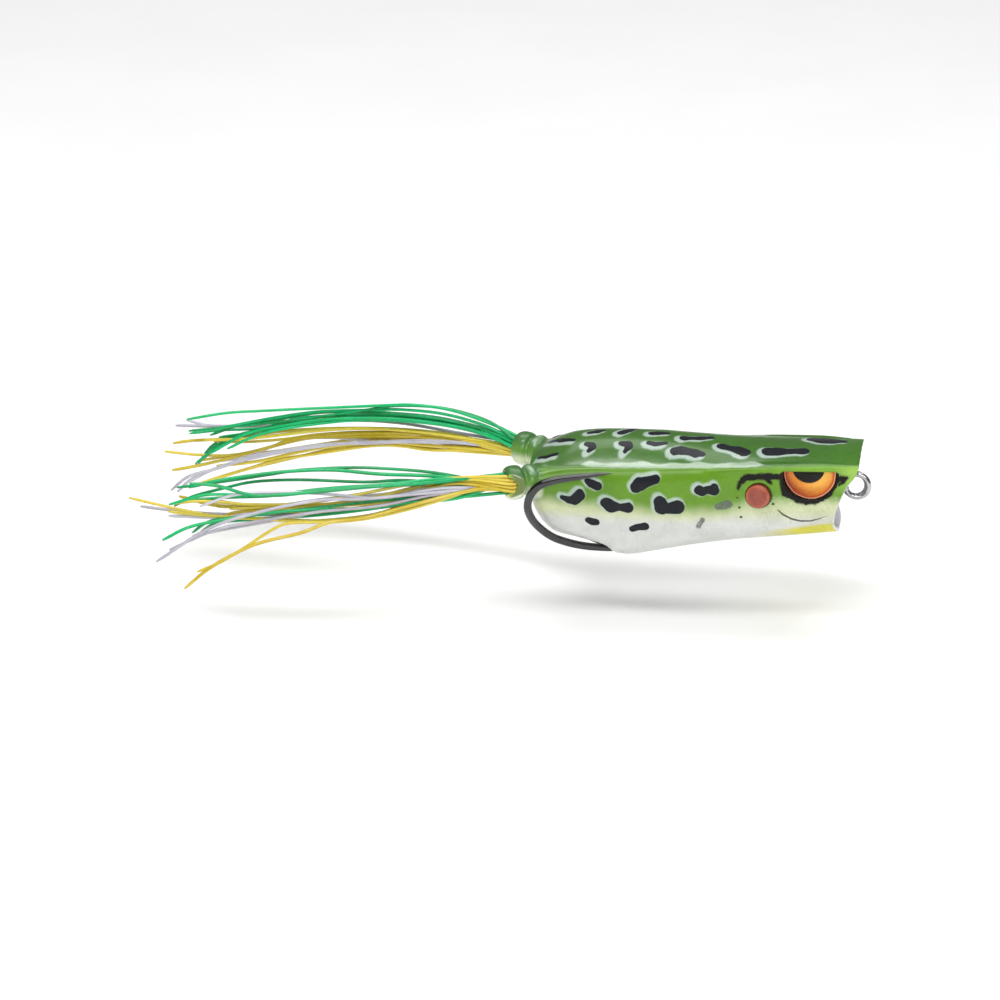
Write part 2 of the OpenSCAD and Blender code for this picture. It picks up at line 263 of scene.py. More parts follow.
class Mat:
    def __init__(self, name):
        self.m = bpy.data.materials.new(name)
        self.m.use_nodes = True
        self.t = self.m.node_tree
        self.t.nodes.clear()
        self.out = self.t.nodes.new("ShaderNodeOutputMaterial")
        self.tc = None

    def n(self, kind, **kw):
        nd = self.t.nodes.new("ShaderNode" + kind)
        for k, v in kw.items():
            setattr(nd, k, v)
        return nd

    def link(self, a, b):
        self.t.links.new(a, b)

    def setin(self, node, idx, val):
        if isinstance(val, bpy.types.NodeSocket):
            self.link(val, node.inputs[idx])
        elif val is not None:
            s = node.inputs[idx]
            if s.type == "RGBA" and len(val) == 3:
                val = (*val, 1)
            s.default_value = val

    def coord(self):
        if self.tc is None:
            self.tc = self.n("TexCoord").outputs["Object"]
        return self.tc

    def scaled(self, vec):
        nd = self.n("VectorMath", operation="MULTIPLY")
        self.setin(nd, 0, self.coord())
        nd.inputs[1].default_value = vec
        return nd.outputs[0]

    def noise(self, scale, detail=3, rough=0.55, vec=None, dist=0.0, col=False):
        nd = self.n("TexNoise")
        self.setin(nd, "Vector", vec or self.coord())
        nd.inputs["Scale"].default_value = scale
        nd.inputs["Detail"].default_value = detail
        nd.inputs["Roughness"].default_value = rough
        nd.inputs["Distortion"].default_value = dist
        return nd.outputs["Color" if col else "Fac"]

    def voronoi(self, scale, feature="F1", vec=None, rnd=1.0):
        nd = self.n("TexVoronoi", feature=feature)
        self.setin(nd, "Vector", vec or self.coord())
        nd.inputs["Scale"].default_value = scale
        nd.inputs["Randomness"].default_value = rnd
        return nd

    def math(self, op, a, b=None, c=None, clamp=False):
        nd = self.n("Math", operation=op, use_clamp=clamp)
        self.setin(nd, 0, a)
        if b is not None:
            self.setin(nd, 1, b)
        if c is not None:
            self.setin(nd, 2, c)
        return nd.outputs[0]

    def ramp(self, v, lo, hi, to0=0.0, to1=1.0, smooth=True):
        nd = self.n("MapRange", interpolation_type="SMOOTHSTEP" if smooth else "LINEAR")
        self.setin(nd, 0, v)
        nd.inputs[1].default_value, nd.inputs[2].default_value = lo, hi
        nd.inputs[3].default_value, nd.inputs[4].default_value = to0, to1
        return nd.outputs[0]

    def mix(self, f, a, b, mode="MIX"):
        nd = self.n("Mix", data_type="RGBA", blend_type=mode)
        self.setin(nd, 0, f)
        self.setin(nd, 6, a)
        self.setin(nd, 7, b)
        return nd.outputs[2]

    def attr(self, name, col=False):
        nd = self.n("Attribute", attribute_name=name)
        return nd.outputs["Color" if col else "Fac"]

    def bump(self, h, strength, dist, normal=None):
        nd = self.n("Bump")
        nd.inputs["Strength"].default_value = strength
        nd.inputs["Distance"].default_value = dist
        self.link(h, nd.inputs["Height"])
        if normal is not None:
            self.link(normal, nd.inputs["Normal"])
        return nd.outputs[0]

    def principled(self, **kw):
        nd = self.n("BsdfPrincipled")
        for k, v in kw.items():
            self.setin(nd, k.replace("_", " "), v)
        return nd

    def done(self, shader):
        self.link(shader.outputs[0] if hasattr(shader, "outputs") else shader, self.out.inputs[0])
        return self.m


# ------------------------------------------------------------------ body shape
SEC = np.array([
    [0, .79, 7.0, 6.3, 6.9, 2.5, -8.0, 3.2], [6, .84, 7.3, 6.25, 7.2, 2.0, -8.6, 3.1],
    [12, .89, 7.7, 6.0, 7.2, 1.5, -9.2, 3.0], [20, .95, 8.0, 5.6, 7.4, 1.0, -10.1, 2.9],
    [28, .99, 8.1, 5.2, 7.9, 0.6, -11.5, 2.8], [36, 1, 8.0, 4.8, 8.4, 0.2, -13.4, 2.6],
    [41, 1, 7.9, 4.6, 8.4, 0, -14.5, 2.4], [43, 1, 7.9, 4.5, 8.35, 0, -14.3, 2.4],
    [45, 1, 7.9, 4.5, 8.25, 0, -12.9, 2.4], [48, 1, 7.8, 4.4, 8.0, 0.2, -12.0, 2.4],
    [51, 1, 7.8, 4.2, 7.45, 0.4, -11.3, 2.4], [54, 1, 7.6, 3.9, 6.25, 0.7, -10.6, 2.3],
    [56, 1, 7.4, 3.5, 5.1, 0.9, -9.0, 2.2], [57.5, .97, 7.2, 3.0, 4.2, 1.0, -6.6, 2.1],
    [58.4, .88, 6.6, 2.3, 3.1, 1.0, -4.0, 2.0]])
LIP = np.array([[-20, -2.3], [-8, -2.7], [-5.8, -3.5], [-3.4, -3.3], [-0.3, -2.3],
                [2.2, -1.2], [4.3, 0.2], [6.3, 0.9], [20, 1.2]])
BODY_HALF = 9.4
WALL = 1.3


def col(x, c):
    return pchip(SEC[:, 0], SEC[:, c], x)


def lip(z):
    return pchip(LIP[:, 0], LIP[:, 1], z)


Q = np.concatenate([np.linspace(0, 0.3, 26)[:-1], np.linspace(0.3, 0.5, 24)[:-1],
                    0.5 + 0.5 * np.linspace(0, 1, 44) ** 1.0])


def section(x):
    """Right half of the section, as (y, z), from the back's middle to the belly's middle."""
    w, r, zr, zt = col(x, 1) * BODY_HALF, col(x, 2), col(x, 3), col(x, 4)
    zm, zb, n = col(x, 5), col(x, 6), col(x, 7)
    y, z = np.zeros_like(Q), np.zeros_like(Q)
    a = Q < 0.3
    k = Q[a] / 0.3
    y[a], z[a] = r * k, zr + (zt - zr) * (1 - k ** 2.2)
    b = (Q >= 0.3) & (Q < 0.5)
    t = (Q[b] - 0.3) / 0.2 * math.pi / 2
    y[b], z[b] = r + (w - r) * np.sin(t), zm + (zr - zm) * np.cos(t)
    c = Q >= 0.5
    t = (Q[c] - 0.5) / 0.5 * math.pi / 2
    y[c] = w * np.abs(np.cos(t)) ** (2 / n)
    z[c] = zm - (zm - zb) * np.abs(np.sin(t)) ** (2 / n)
    return y, z


def ring(x):
    y, z = section(x)
    return np.concatenate([y, -y[-2:0:-1]]), np.concatenate([z, z[-2:0:-1]])


def closed_loft(rings):
    n, m = len(rings), len(rings[0])
    v = np.concatenate(list(rings) + [rings[0].mean(0)[None], rings[-1].mean(0)[None]])
    i = np.arange(n - 1)[:, None] * m
    j = np.arange(m)[None, :]
    k = (j + 1) % m
    quads = np.stack([i + j, i + k, i + m + k, i + m + j], -1).reshape(-1, 4)
    j = np.arange(m)
    k = (j + 1) % m
    tris = np.concatenate([np.stack([np.full(m, n * m), k, j], 1),
                           np.stack([np.full(m, n * m + 1), (n - 1) * m + j, (n - 1) * m + k], 1)])
    return v.astype(np.float32), tris.astype(np.uint32), quads.astype(np.uint32)


H = 0.15
X0, X1, Y1, Z0, Z1 = -65.4, 3.0, 10.9, -15.9, 8.9
NX, NY, NZ = int((X1 - X0) / H) + 1, int(Y1 / H) + 1, int((Z1 - Z0) / H) + 1
BAND = 2.2
gx = (X0 + np.arange(NX) * H).astype(np.float32)[:, None, None]
gy = (np.arange(NY) * H).astype(np.float32)[None, :, None]
gz = (Z0 + np.arange(NZ) * H).astype(np.float32)[None, None, :]


def level_set(v, tris, quads):
    """Signed distance in millimetres of a closed mesh on the grid's half with y >= 0."""
    tr = openvdb.createLinearTransform(voxelSize=H)
    v = v - np.array([X0, 0, Z0], np.float32)
    g = openvdb.FloatGrid.createLevelSetFromPolygons(
        np.ascontiguousarray(v, np.float32), triangles=np.ascontiguousarray(tris),
        quads=np.ascontiguousarray(quads), transform=tr, halfWidth=BAND / H)
    a = np.zeros((NX, NY, NZ), np.float32)
    g.copyToArray(a)
    return a


def smin(a, b, k):
    h = np.maximum(k - np.abs(a - b), 0) / k
    return np.minimum(a, b) - h * h * k / 4


def smax(a, b, k):
    return -smin(-a, -b, k)


def along(x, y, z, base, axis):
    dx, dy, dz = x - base[0], y - base[1], z - base[2]
    s = dx * axis[0] + dy * axis[1] + dz * axis[2]
    r = np.sqrt(np.maximum((dx - s * axis[0]) ** 2 + (dy - s * axis[1]) ** 2 + (dz - s * axis[2]) ** 2, 0))
    return s, r


COLLAR_PROFILE = np.array([
    [-4, 2.3], [-1.4, 2.5], [-0.95, 2.42], [-0.65, 2.55], [-0.2, 2.9], [0.35, 3.04], [0.9, 2.9],
    [1.25, 2.58], [1.5, 2.4], [1.75, 2.5], [2.1, 2.92], [2.7, 3.12], [3.5, 3.14], [4.2, 3.0],
    [4.7, 2.7], [5.0, 2.2]])


def collar_sd(x, y, z):
    s, r = along(x, y, z, COLLAR_AT, (-CS, SN, 0))
    prof = pchip(COLLAR_PROFILE[:, 0], COLLAR_PROFILE[:, 1], np.linspace(-4, 5.0, 240))
    rr = np.interp(s, np.linspace(-4, 5.0, 240), prof).astype(np.float32)
    return smax(smax(r - rr, s - 4.95, 0.5), -s - 3.2, 0.3), s, r


def capsule_chain(x, y, z, pts, rads):
    d = None
    for (a, b), (ra, rb) in zip(zip(pts, pts[1:]), zip(rads, rads[1:])):
        ab = [b[i] - a[i] for i in range(3)]
        L = sum(q * q for q in ab)
        t = np.clip(((x - a[0]) * ab[0] + (y - a[1]) * ab[1] + (z - a[2]) * ab[2]) / L, 0, 1)
        e = np.sqrt((x - a[0] - t * ab[0]) ** 2 + (y - a[1] - t * ab[1]) ** 2
                    + (z - a[2] - t * ab[2]) ** 2) - (ra + (rb - ra) * t)
        d = e if d is None else np.minimum(d, e)
    return d


def body_field():
    xs = np.concatenate([[58.95, 58.85, 58.7], np.arange(58.4, 0, -0.35), [0]])
    rings = []
    for x in xs:
        y, z = ring(min(x, 58.4))
        if x > 58.4:
            k = {58.7: 0.93, 58.85: 0.8, 58.95: 0.55}[round(float(x), 2)]
            y, z = y * k, 1.0 + (z - 1.0) * k
        fall = 0 if x >= 16 else (1 - x / 16) ** 1.5
        rings.append(np.stack([-x + lip(z) * fall, -y, z], 1))
    skin = level_set(*closed_loft(rings))
    # the mouth: a bowl that narrows towards the nose hole
    y0, z0 = ring(0)
    cz = -0.9
    rings = []
    for k, off in [(1.06, 4.0), (0.97, 1.2), (0.915, 0.1), (0.885, -0.7), (0.85, -1.6), (0.79, -2.6),
                   (0.70, -3.7), (0.58, -4.6), (0.42, -5.2), (0.25, -5.45), (0.05, -5.5)]:
        y, z = y0 * k, cz + (z0 - cz) * k
        rings.append(np.stack([lip(z0) * min(k, 1) * 1.02 + off, -y, z], 1))
    cup = level_set(*closed_loft(rings))
    csd, cs, cr = collar_sd(gx, gy, gz)
    # the back's edge stands up as a soft brow over each eye and fades to the hips
    e = np.arange(2.2, 27, 1.2)
    pts = [(-x, col(x, 2) - 0.2, col(x, 3) - 0.62) for x in e]
    rad = [0.78 * min(1, 0.4 + 0.6 * (27 - x) / 12, 0.45 + 0.55 * (x - 2.2) / 3) for x in e]
    brow = capsule_chain(gx, gy, gz, pts, rad)
    outer = smin(skin, brow, 0.9)
    # a shallow hollow under the brow, behind the eye
    dent = capsule_chain(gx, gy, gz, [(-13.2, 10.6, 3.0), (-17, 10.9, 3.2), (-22, 11.2, 2.9)], [2.0, 2.0, 1.7])
    outer = smax(outer, -dent, 1.0)
    outer = smin(outer, csd, 0.9)
    f = outer
    x, y, z = gx, gy, gz
    cav = smax(smax(skin + WALL, x + 12.8, 1.2), -x - 56.6, 1.2)
    f = smax(f, -cav, 0.3)
    f = smax(f, -cup, 0.55)
    # belly slot
    cx, L, w = -32.1, (28 - 5.8) / 2, 5.8
    sx = np.maximum(np.abs(x - cx) - L, 0)
    slot = np.sqrt(sx * sx + y * y) - w / 2
    slot = smax(slot, z + 4.5, 0.5)
    f = smax(f, -slot, 0.55)
    # nose hole along the shank
    t = math.atan(SLOPE)
    s, r = along(x, y, z, (-10.4, 0, shank_z(-10.4)), (math.cos(t), 0, math.sin(t)))
    f = smax(f, -smax(r - 1.85, np.abs(s) - 4.2, 0.2), 0.35)
    # collar bores
    f = smax(f, -smax(cr - 2.0, -cs - 3.6, 0.3), 0.35)
    # eye sockets, cut off under the brow, and ear pockets
    M = np.array(eye_matrix(1, EYE_AT, 4, 4).inverted())
    lx = M[0, 0] * x + M[0, 1] * y + M[0, 2] * z + M[0, 3]
    ly = M[1, 0] * x + M[1, 1] * y + M[1, 2] * z + M[1, 3]
    lz = M[2, 0] * x + M[2, 1] * y + M[2, 2] * z + M[2, 3]
    sock = smax(smax(np.sqrt(lx * lx + ly * ly) - 4.82, -0.75 - lz, 0.12), z - 5.12, 0.2)
    f = smax(f, -sock, 0.18)
    M = np.array(eye_matrix(1, EAR_AT, 0, 5).inverted())
    lx = M[0, 0] * x + M[0, 1] * y + M[0, 2] * z + M[0, 3]
    ly = M[1, 0] * x + M[1, 1] * y + M[1, 2] * z + M[1, 3]
    lz = M[2, 0] * x + M[2, 1] * y + M[2, 2] * z + M[2, 3]
    f = smax(f, -smax(np.sqrt(lx * lx + ly * ly) - 2.24, -0.3 - lz, 0.1), 0.15)
    return f, outer, skin


def mirrored(a):
    return np.concatenate([a[:, :0:-1, :], a], 1)


def extract(f):
    full = np.ascontiguousarray(mirrored(f), np.float32)
    full[[0, -1]] = 1
    full[:, [0, -1]] = 1
    full[:, :, [0, -1]] = 1
    g = openvdb.FloatGrid(9.0)
    g.copyFromArray(full)
    g.transform = openvdb.createLinearTransform(voxelSize=H)
    pts, quads = g.convertToQuads(0.0)
    pts = np.array(pts, np.float64)
    pts += np.array([X0, -(NY - 1) * H, Z0])
    return pts, np.array(quads, np.int64)


def relax(v, q, rounds, lam=0.5):
    e = np.concatenate([q[:, [0, 1]], q[:, [1, 2]], q[:, [2, 3]], q[:, [3, 0]]])
    cnt = np.bincount(e.ravel(), minlength=len(v)).astype(float)[:, None]
    for r in range(rounds):
        k = lam if r % 2 == 0 else -lam * 1.04
        acc = np.stack([np.bincount(e[:, 0], v[e[:, 1], c], len(v))
                        + np.bincount(e[:, 1], v[e[:, 0], c], len(v)) for c in range(3)], 1)
        v = v + k * (acc / np.maximum(cnt, 1) - v)
    return v


def islands(n, q):
    lab = np.arange(n)
    while True:
        m = lab[q].min(1)
        new = lab.copy()
        np.minimum.at(new, q.ravel(), np.repeat(m, 4))
        new = new[new]
        if (new == lab).all():
            return lab
        lab = new


F, OUTER, SKIN = body_field()
bv, bq = extract(F)
bv = relax(bv, bq, 6, 0.55)
a, b, c = bv[bq[:, 0]], bv[bq[:, 1]], bv[bq[:, 2]]
if np.einsum("ij,ij->i", a, np.cross(b, c)).sum() < 0:
    bq = bq[:, ::-1]
body = big_mesh("frog_body", bv, bq)
print("body", len(bv), "verts", len(bq), "quads", "islands", len(np.unique(islands(len(bv), bq))))


def sample(field, p):
    ix = np.clip((p[:, 0] - X0) / H, 0, NX - 1.001)
    iy = np.clip(np.abs(p[:, 1]) / H, 0, NY - 1.001)
    iz = np.clip((p[:, 2] - Z0) / H, 0, NZ - 1.001)
    i, j, k = ix.astype(int), iy.astype(int), iz.astype(int)
    fx, fy, fz = ix - i, iy - j, iz - k
    r = 0
    for dx in (0, 1):
        for dy in (0, 1):
            for dz in (0, 1):
                r = r + (field[i + dx, j + dy, k + dz] * (fx if dx else 1 - fx)
                         * (fy if dy else 1 - fy) * (fz if dz else 1 - fz))
    return r


# ------------------------------------------------------------------ body paint
def seg_sd(px, py, pts, rads):
    d = None
    if len(pts) == 1:
        return np.hypot(px - pts[0][0], py - pts[0][1]) - rads[0]
    for (a, b), (ra, rb) in zip(zip(pts, pts[1:]), zip(rads, rads[1:])):
        dx, dy = b[0] - a[0], b[1] - a[1]
        t = np.clip(((px - a[0]) * dx + (py - a[1]) * dy) / (dx * dx + dy * dy), 0, 1)
        e = np.hypot(px - a[0] - t * dx, py - a[1] - t * dy) - (ra + (rb - ra) * t)
        d = e if d is None else np.minimum(d, e)
    return d


# On the back, as (x, y) with radii; halo says how far the pale edge shows.
TOP_SPOTS = [
    ([(-48.2, -0.2), (-47.0, 0.2), (-46.0, 0.7)], [0.7, 0.95, 0.6]),
    ([(-42.4, -0.6), (-41.4, 0.5), (-40.5, 1.9)], [0.9, 1.0, 0.75]),
    ([(-36.8, -0.3), (-36.0, -0.1), (-34.3, 0.1)], [0.85, 0.95, 0.65]),
    ([(-32.1, 4.1), (-30.4, 4.5)], [0.85, 0.9]),
    ([(-24.9, 4.6), (-22.0, 6.0), (-19.2, 6.7)], [0.6, 0.75, 0.55]),
    ([(-31.0, -1.3), (-29.9, -1.0), (-28.2, -0.5), (-26.4, 0.3)], [0.95, 0.75, 0.95, 0.75]),
    ([(-37.2, -3.6), (-36.0, -3.9), (-34.2, -3.5)], [0.5, 0.6, 0.5]),
    ([(-42.2, -3.9), (-40.9, -4.1), (-40.7, -4.6), (-41.3, -5.5)], [0.5, 0.8, 0.75, 0.45]),
    ([(-48.4, -3.9), (-47.4, -4.3), (-47.2, -4.7), (-47.9, -5.4)], [0.5, 0.68, 0.62, 0.4]),
    ([(-55.6, 1.2), (-53.1, -1.2), (-51.0, -2.4)], [0.5, 0.7, 0.4]),
    ([(-57.0, -4.1), (-55.4, -4.9), (-53.7, -5.1)], [0.36, 0.5, 0.36]),
    ([(-32.4, -5.2), (-31.2, -5.0), (-29.9, -5.1), (-28.6, -5.4), (-27.4, -5.5)], [0.85, 1.05, 0.85, 1.0, 0.6]),
    ([(-24.0, -2.8), (-22.8, -3.2), (-21.2, -3.5), (-20.0, -4.2)], [1.0, 0.9, 1.25, 1.25]),
    ([(-15.5, -3.4), (-14.2, -3.2), (-12.4, -3.1), (-10.9, -2.8), (-9.6, -2.7)], [1.5, 1.6, 1.15, 1.2, 1.3]),
    ([(-7.8, 4.0), (-6.4, 3.6), (-5.0, 3.4), (-2.9, 3.6)], [1.6, 2.1, 1.9, 1.1])]
# On a side, as (x, z). The right side's own, then the left side's.
SIDE_R = [
    ([(-38.9, 1.3), (-38.2, 1.9), (-36.9, 2.4), (-35.4, 2.95)], [1.05, 1.35, 0.95, 0.85]),
    ([(-47.7, 2.1), (-46.9, 1.6), (-45.9, 1.2)], [0.6, 0.82, 0.85]),
    ([(-52.3, -1.2), (-51.0, -1.75), (-50.0, -1.7), (-49.1, -0.7), (-49.0, -0.2)], [0.4, 0.75, 1.0, 1.05, 0.75]),
    ([(-44.3, -1.9), (-43.3, -2.6), (-41.8, -2.7), (-40.3, -2.7)], [1.05, 1.25, 0.8, 1.0]),
    ([(-34.6, -1.3), (-34.2, -2.4), (-33.0, -2.6), (-31.4, -2.2)], [1.15, 1.4, 1.0, 1.35]),
    ([(-27.5, 1.25), (-27.0, 0.9), (-26.2, 1.3), (-24.9, 1.3), (-24.8, 1.9)], [0.95, 0.8, 0.75, 1.0, 0.7]),
    ([(-47.5, -5.7), (-46.9, -5.9), (-46.2, -6.0)], [0.7, 0.85, 0.7]),
    ([(-39.6, -7.0), (-38.6, -6.6), (-37.3, -6.4)], [0.65, 0.7, 0.85])]
SIDE_R_GREY = [([(-24.1, -1.8), (-22.3, -1.3)], [0.75, 0.85]), ([(-27.0, -4.6), (-27.6, -5.9)], [0.55, 0.6])]
SIDE_L = [([(x + 0.9 * math.sin(3.1 * i), z + 0.35 * math.cos(2.3 * i)) for x, z in p], r)
          for i, (p, r) in enumerate(SIDE_R)]
SIDE_L_GREY = [([(x + 0.6, z + 0.3) for x, z in p], r) for p, r in SIDE_R_GREY]
BROW = ([(-20.6, 1.8), (-20.2, 2.9), (-19.3, 3.75), (-17.5, 3.95), (-15.2, 4.05), (-13.6, 4.15), (-12.4, 4.0)],
        [0.34, 0.5, 0.66, 0.62, 0.72, 0.58, 0.72])
BROW2 = ([(-15.7, 3.8), (-14.8, 2.9)], [0.6, 0.36])
FRONT = ([(-3.2, 3.4), (-2.3, 3.9), (-1.3, 4.1), (-2.6, 2.7)], [0.4, 0.72, 0.42, 0.3])
UNDER = ([(-12.95, 4.3), (-12.7, 2.9), (-12.1, 1.1), (-11.2, 0.4), (-9.8, -0.3), (-8.4, -0.65), (-7.0, -0.55),
          (-5.4, 0.0), (-4.1, 1.1), (-3.1, 2.8), (-2.6, 3.7)], [0.42, 0.45, 0.85, 0.5, 0.62, 0.5, 0.62, 0.5, 0.42, 0.35, 0.3])
SMILE = ([(-13.5, -2.2), (-12.6, -3.1), (-11.0, -4.05), (-9.4, -4.5), (-7.6, -4.5), (-6.0, -4.0), (-4.7, -3.4)],
         [0.09, 0.17, 0.2, 0.18, 0.15, 0.11, 0.05])
DOTS = [(-14.3, -1.1, .28), (-20.3, -1.9, .25), (-20.0, -3.8, .27), (-20.7, 0.0, .2), (-14.5, 0.5, .16)]


def smoothstep(v, a, b):
    t = np.clip((v - a) / (b - a), 0, 1)
    return t * t * (3 - 2 * t)


def lerp(a, b, t):
    return a + (b - a) * t[:, None]


def paint_body():
    me = body.data
    n = len(me.vertices)
    nor = np.zeros(n * 3, np.float32)
    me.vertex_normals.foreach_get("vector", nor)
    nor = nor.reshape(-1, 3)
    p = bv
    x, y, z = p.T
    ay = np.abs(y)
    out = sample(OUTER, p)
    skin = sample(SKIN, p)
    s = np.clip(-x, 0, 58.4)
    zr = col(s, 3)
    rr = col(s, 2)
    # how far round from the back's edge: above 0 is the back
    shoulder = np.minimum(rr - ay, 3.0) * 0.55 + (z - zr)
    back = smoothstep(shoulder, -0.75, 0.35) * (z > 0)
    C = lambda *v: np.array(srgb(*v))
    dark = lerp(C(56, 102, 26)[None], C(62, 104, 36)[None], smoothstep(s, 25, 55))
    dark = lerp(dark, C(60, 110, 22)[None], smoothstep(-s, -10, 0))
    side = lerp(C(92, 138, 14)[None], C(86, 132, 18)[None], smoothstep(s, 30, 52))
    side = lerp(side, C(112, 160, 40)[None], smoothstep(-s, -22, -4) * smoothstep(z, -1, 3))
    pale = np.repeat(C(194, 201, 160)[None], n, 0)
    white = np.repeat(C(204, 206, 202)[None], n, 0)
    # the green thins out down the side, lower at the middle than at the cheek
    wav = 0.35 * np.sin(x * 0.9) + 0.25 * np.sin(x * 2.3 + 1.0)
    top_of_fade = pchip([0, 6, 12, 18, 24, 34, 46, 56, 60], [0.2, 1.4, 1.2, 0.9, -0.9, -1.2, -0.8, -0.3, 0.6], s) + wav * .4
    low_of_fade = pchip([0, 6, 12, 18, 24, 34, 46, 56, 60], [-1.6, -1.8, -2.4, -3.0, -4.4, -4.8, -4.2, -3.2, -1.6], s) + wav * .4
    f1 = 1 - smoothstep(z, low_of_fade, top_of_fade)
    colr = lerp(side, pale, f1)
    colr = lerp(colr, white, smoothstep(-z, 2.2 + 1.2 * smoothstep(s, 18, 30), 5.6 + 0.6 * smoothstep(s, 20, 30)))
    # pale green along the lip and cheek edge: a painted highlight
    colr = lerp(colr, C(150, 190, 80), smoothstep(-s, -4.5, -0.5) * smoothstep(z, 0.5, 4) * 0.8)
    # yellow chin
    chin_z = pchip([0, 4, 10, 15, 20, 60], [4.2, 4.5, 5.3, 6.2, 7.6, 9], s)
    chin = smoothstep(-s, -19.5, -7) * smoothstep(-z - chin_z, 0.0, 1.3)
    colr = lerp(colr, C(200, 194, 0), np.clip(chin * 1.15, 0, 1) * 0.96)
    colr = lerp(colr, dark, back)
    # a pale streak just under the back's edge: a painted reflection of the lamps along the crease
    up = 0.95 + 0.3 * np.sin(x * 0.95) * np.sin(x * 0.33 + 1)
    reflection_strip = np.maximum(shoulder - up, -0.28 - shoulder)
    reflection_strip = reflection_strip + 2.2 * (1 - smoothstep(s, 9, 19)) + 2.2 * smoothstep(s, 47, 53)
    # collars: green above, white below
    cs, cr = along(x, ay, z, COLLAR_AT, (-CS, SN, 0))
    oncol = smoothstep(cs, -1.8, -0.8) * (1 - smoothstep(cr, 3.15, 3.75)) * (out > -0.4)
    ctop = lerp(lerp(white, C(206, 216, 182), smoothstep(z, -2.4, -0.4)), lerp(C(96, 140, 58)[None], C(66, 110, 54)[None], smoothstep(z, 1.6, 3.4)), smoothstep(z, -0.3, 1.5))
    colr = lerp(colr, ctop, oncol)
    # a painted highlight: a pale sheen patch on top of each collar's inner ring
    painted_sheen = np.exp(-((cs - 0.35) / 0.75) ** 2) * smoothstep(z, 2.3, 3.7) * (cr < 4.2) * (0.6 + 0.4 * np.sin(y * 3.1 + x * 2))
    colr = lerp(colr, C(168, 192, 164), painted_sheen * 0.7)
    # inside the cup, the hollow and the slot: the bare milky plastic
    inside = smoothstep(-out, 0.2, 0.42)
    rim = smoothstep(nor[:, 0], 0.3, 0.6) * (s < 6) * smoothstep(-z, -4.0, -2.6)
    inside = np.maximum(inside, rim)
    bare = np.repeat(C(222, 221, 226)[None], n, 0)
    colr = lerp(colr, bare, inside)
    # the collar bores' walls: painted green, darker deeper in as painted shade
    incol = (cr < 2.75) & (cs > -3.8) & (inside > 0.02)
    colr = np.where(incol[:, None], lerp(C(104, 122, 62)[None], C(150, 176, 66)[None], smoothstep(cs, 3.6, 4.7)), colr)
    inside = np.where(incol & (cs > 3.0), 0.0, inside)
    add_attr(body, "paint", colr, "FLOAT_COLOR")
    add_attr(body, "inside", inside)
    add_attr(body, "reflection_strip", np.where(inside > 0.1, 9.0, reflection_strip))
    # spots
    big = 9.0
    top = np.full(n, big)
    halo = np.full(n, big)
    ontop = (nor[:, 2] > 0.25) & (shoulder > -0.6)
    # on the front slope of the section, foreshortening is none: use x and y
    for pts, rad in TOP_SPOTS:
        rad = [r * 1.0 for r in rad]
        d = seg_sd(x, y, pts, rad)
        top = np.minimum(top, d)
        halo = np.minimum(halo, seg_sd(x + 0.5, y + 0.42, pts, [r + 0.34 for r in rad]))
    top[~ontop], halo[~ontop] = big, big
    sd, sh = np.full(n, big), np.full(n, big)
    grey = np.full(n, big)
    onside = (shoulder < -0.2) & (np.abs(nor[:, 1]) > 0.3)
    for sgn, spots, greys in ((-1, SIDE_R, SIDE_R_GREY), (1, SIDE_L, SIDE_L_GREY)):
        m = onside & (y * sgn > 0)
        for pts, rad in spots:
            sd[m] = np.minimum(sd[m], seg_sd(x[m], z[m], pts, rad))
            sh[m] = np.minimum(sh[m], seg_sd(x[m] + 0.26, z[m] - 0.26, pts, [r + 0.34 for r in rad]))
        for pts, rad in greys:
            grey[m] = np.minimum(grey[m], seg_sd(x[m], z[m], pts, rad))
    hide = inside > 0.1
    for arr in (top, halo, sd, sh, grey):
        arr[hide] = big
    add_attr(body, "spot", np.minimum(top, sd))
    add_attr(body, "halo", np.minimum(halo, sh + 0.1 * (z < -4) * 10))
    add_attr(body, "greyspot", grey)
    # face marks
    mk = np.full(n, big)
    thin = np.full(n, big)
    m = (np.abs(nor[:, 1]) > 0.25) & ~hide
    for pts, rad in (BROW, BROW2, UNDER, FRONT):
        mk[m] = np.minimum(mk[m], seg_sd(x[m], z[m], pts, rad))
    mk[shoulder > -0.25] = big
    em = np.array(eye_matrix(1, EYE_AT, 4, 4).inverted())
    q = np.stack([x, ay, z, np.ones(n)], 1) @ em.T
    sock = (np.hypot(q[:, 0], q[:, 1]) < 5.12) & (q[:, 2] > -1.2) & (q[:, 2] < 1.4) & (z < 5.0) & (out > -1.6)
    mk[sock] = -0.9
    thin[m] = np.minimum(thin[m], seg_sd(x[m], z[m], *SMILE))
    for cx, cz, r in DOTS:
        thin[m] = np.minimum(thin[m], np.hypot(x[m] - cx, z[m] - cz) - r)
    # a thin shadow line round the ear disc
    er = np.hypot(x - EAR_AT[0] - 0.12, z - EAR_AT[2] - 0.06) - 2.42
    ring_l = np.where((np.abs(nor[:, 1]) > 0.25) & ~hide, er, big)
    add_attr(body, "mark", mk)
    add_attr(body, "thin", thin)
    add_attr(body, "earline", ring_l)
    speck = smoothstep(-s, -24, -15) * smoothstep(-z, -1.6, 1.2) * smoothstep(z, -7.4, -5.2) * (ay > 3)
    add_attr(body, "speck", speck * (1 - inside))


paint_body()


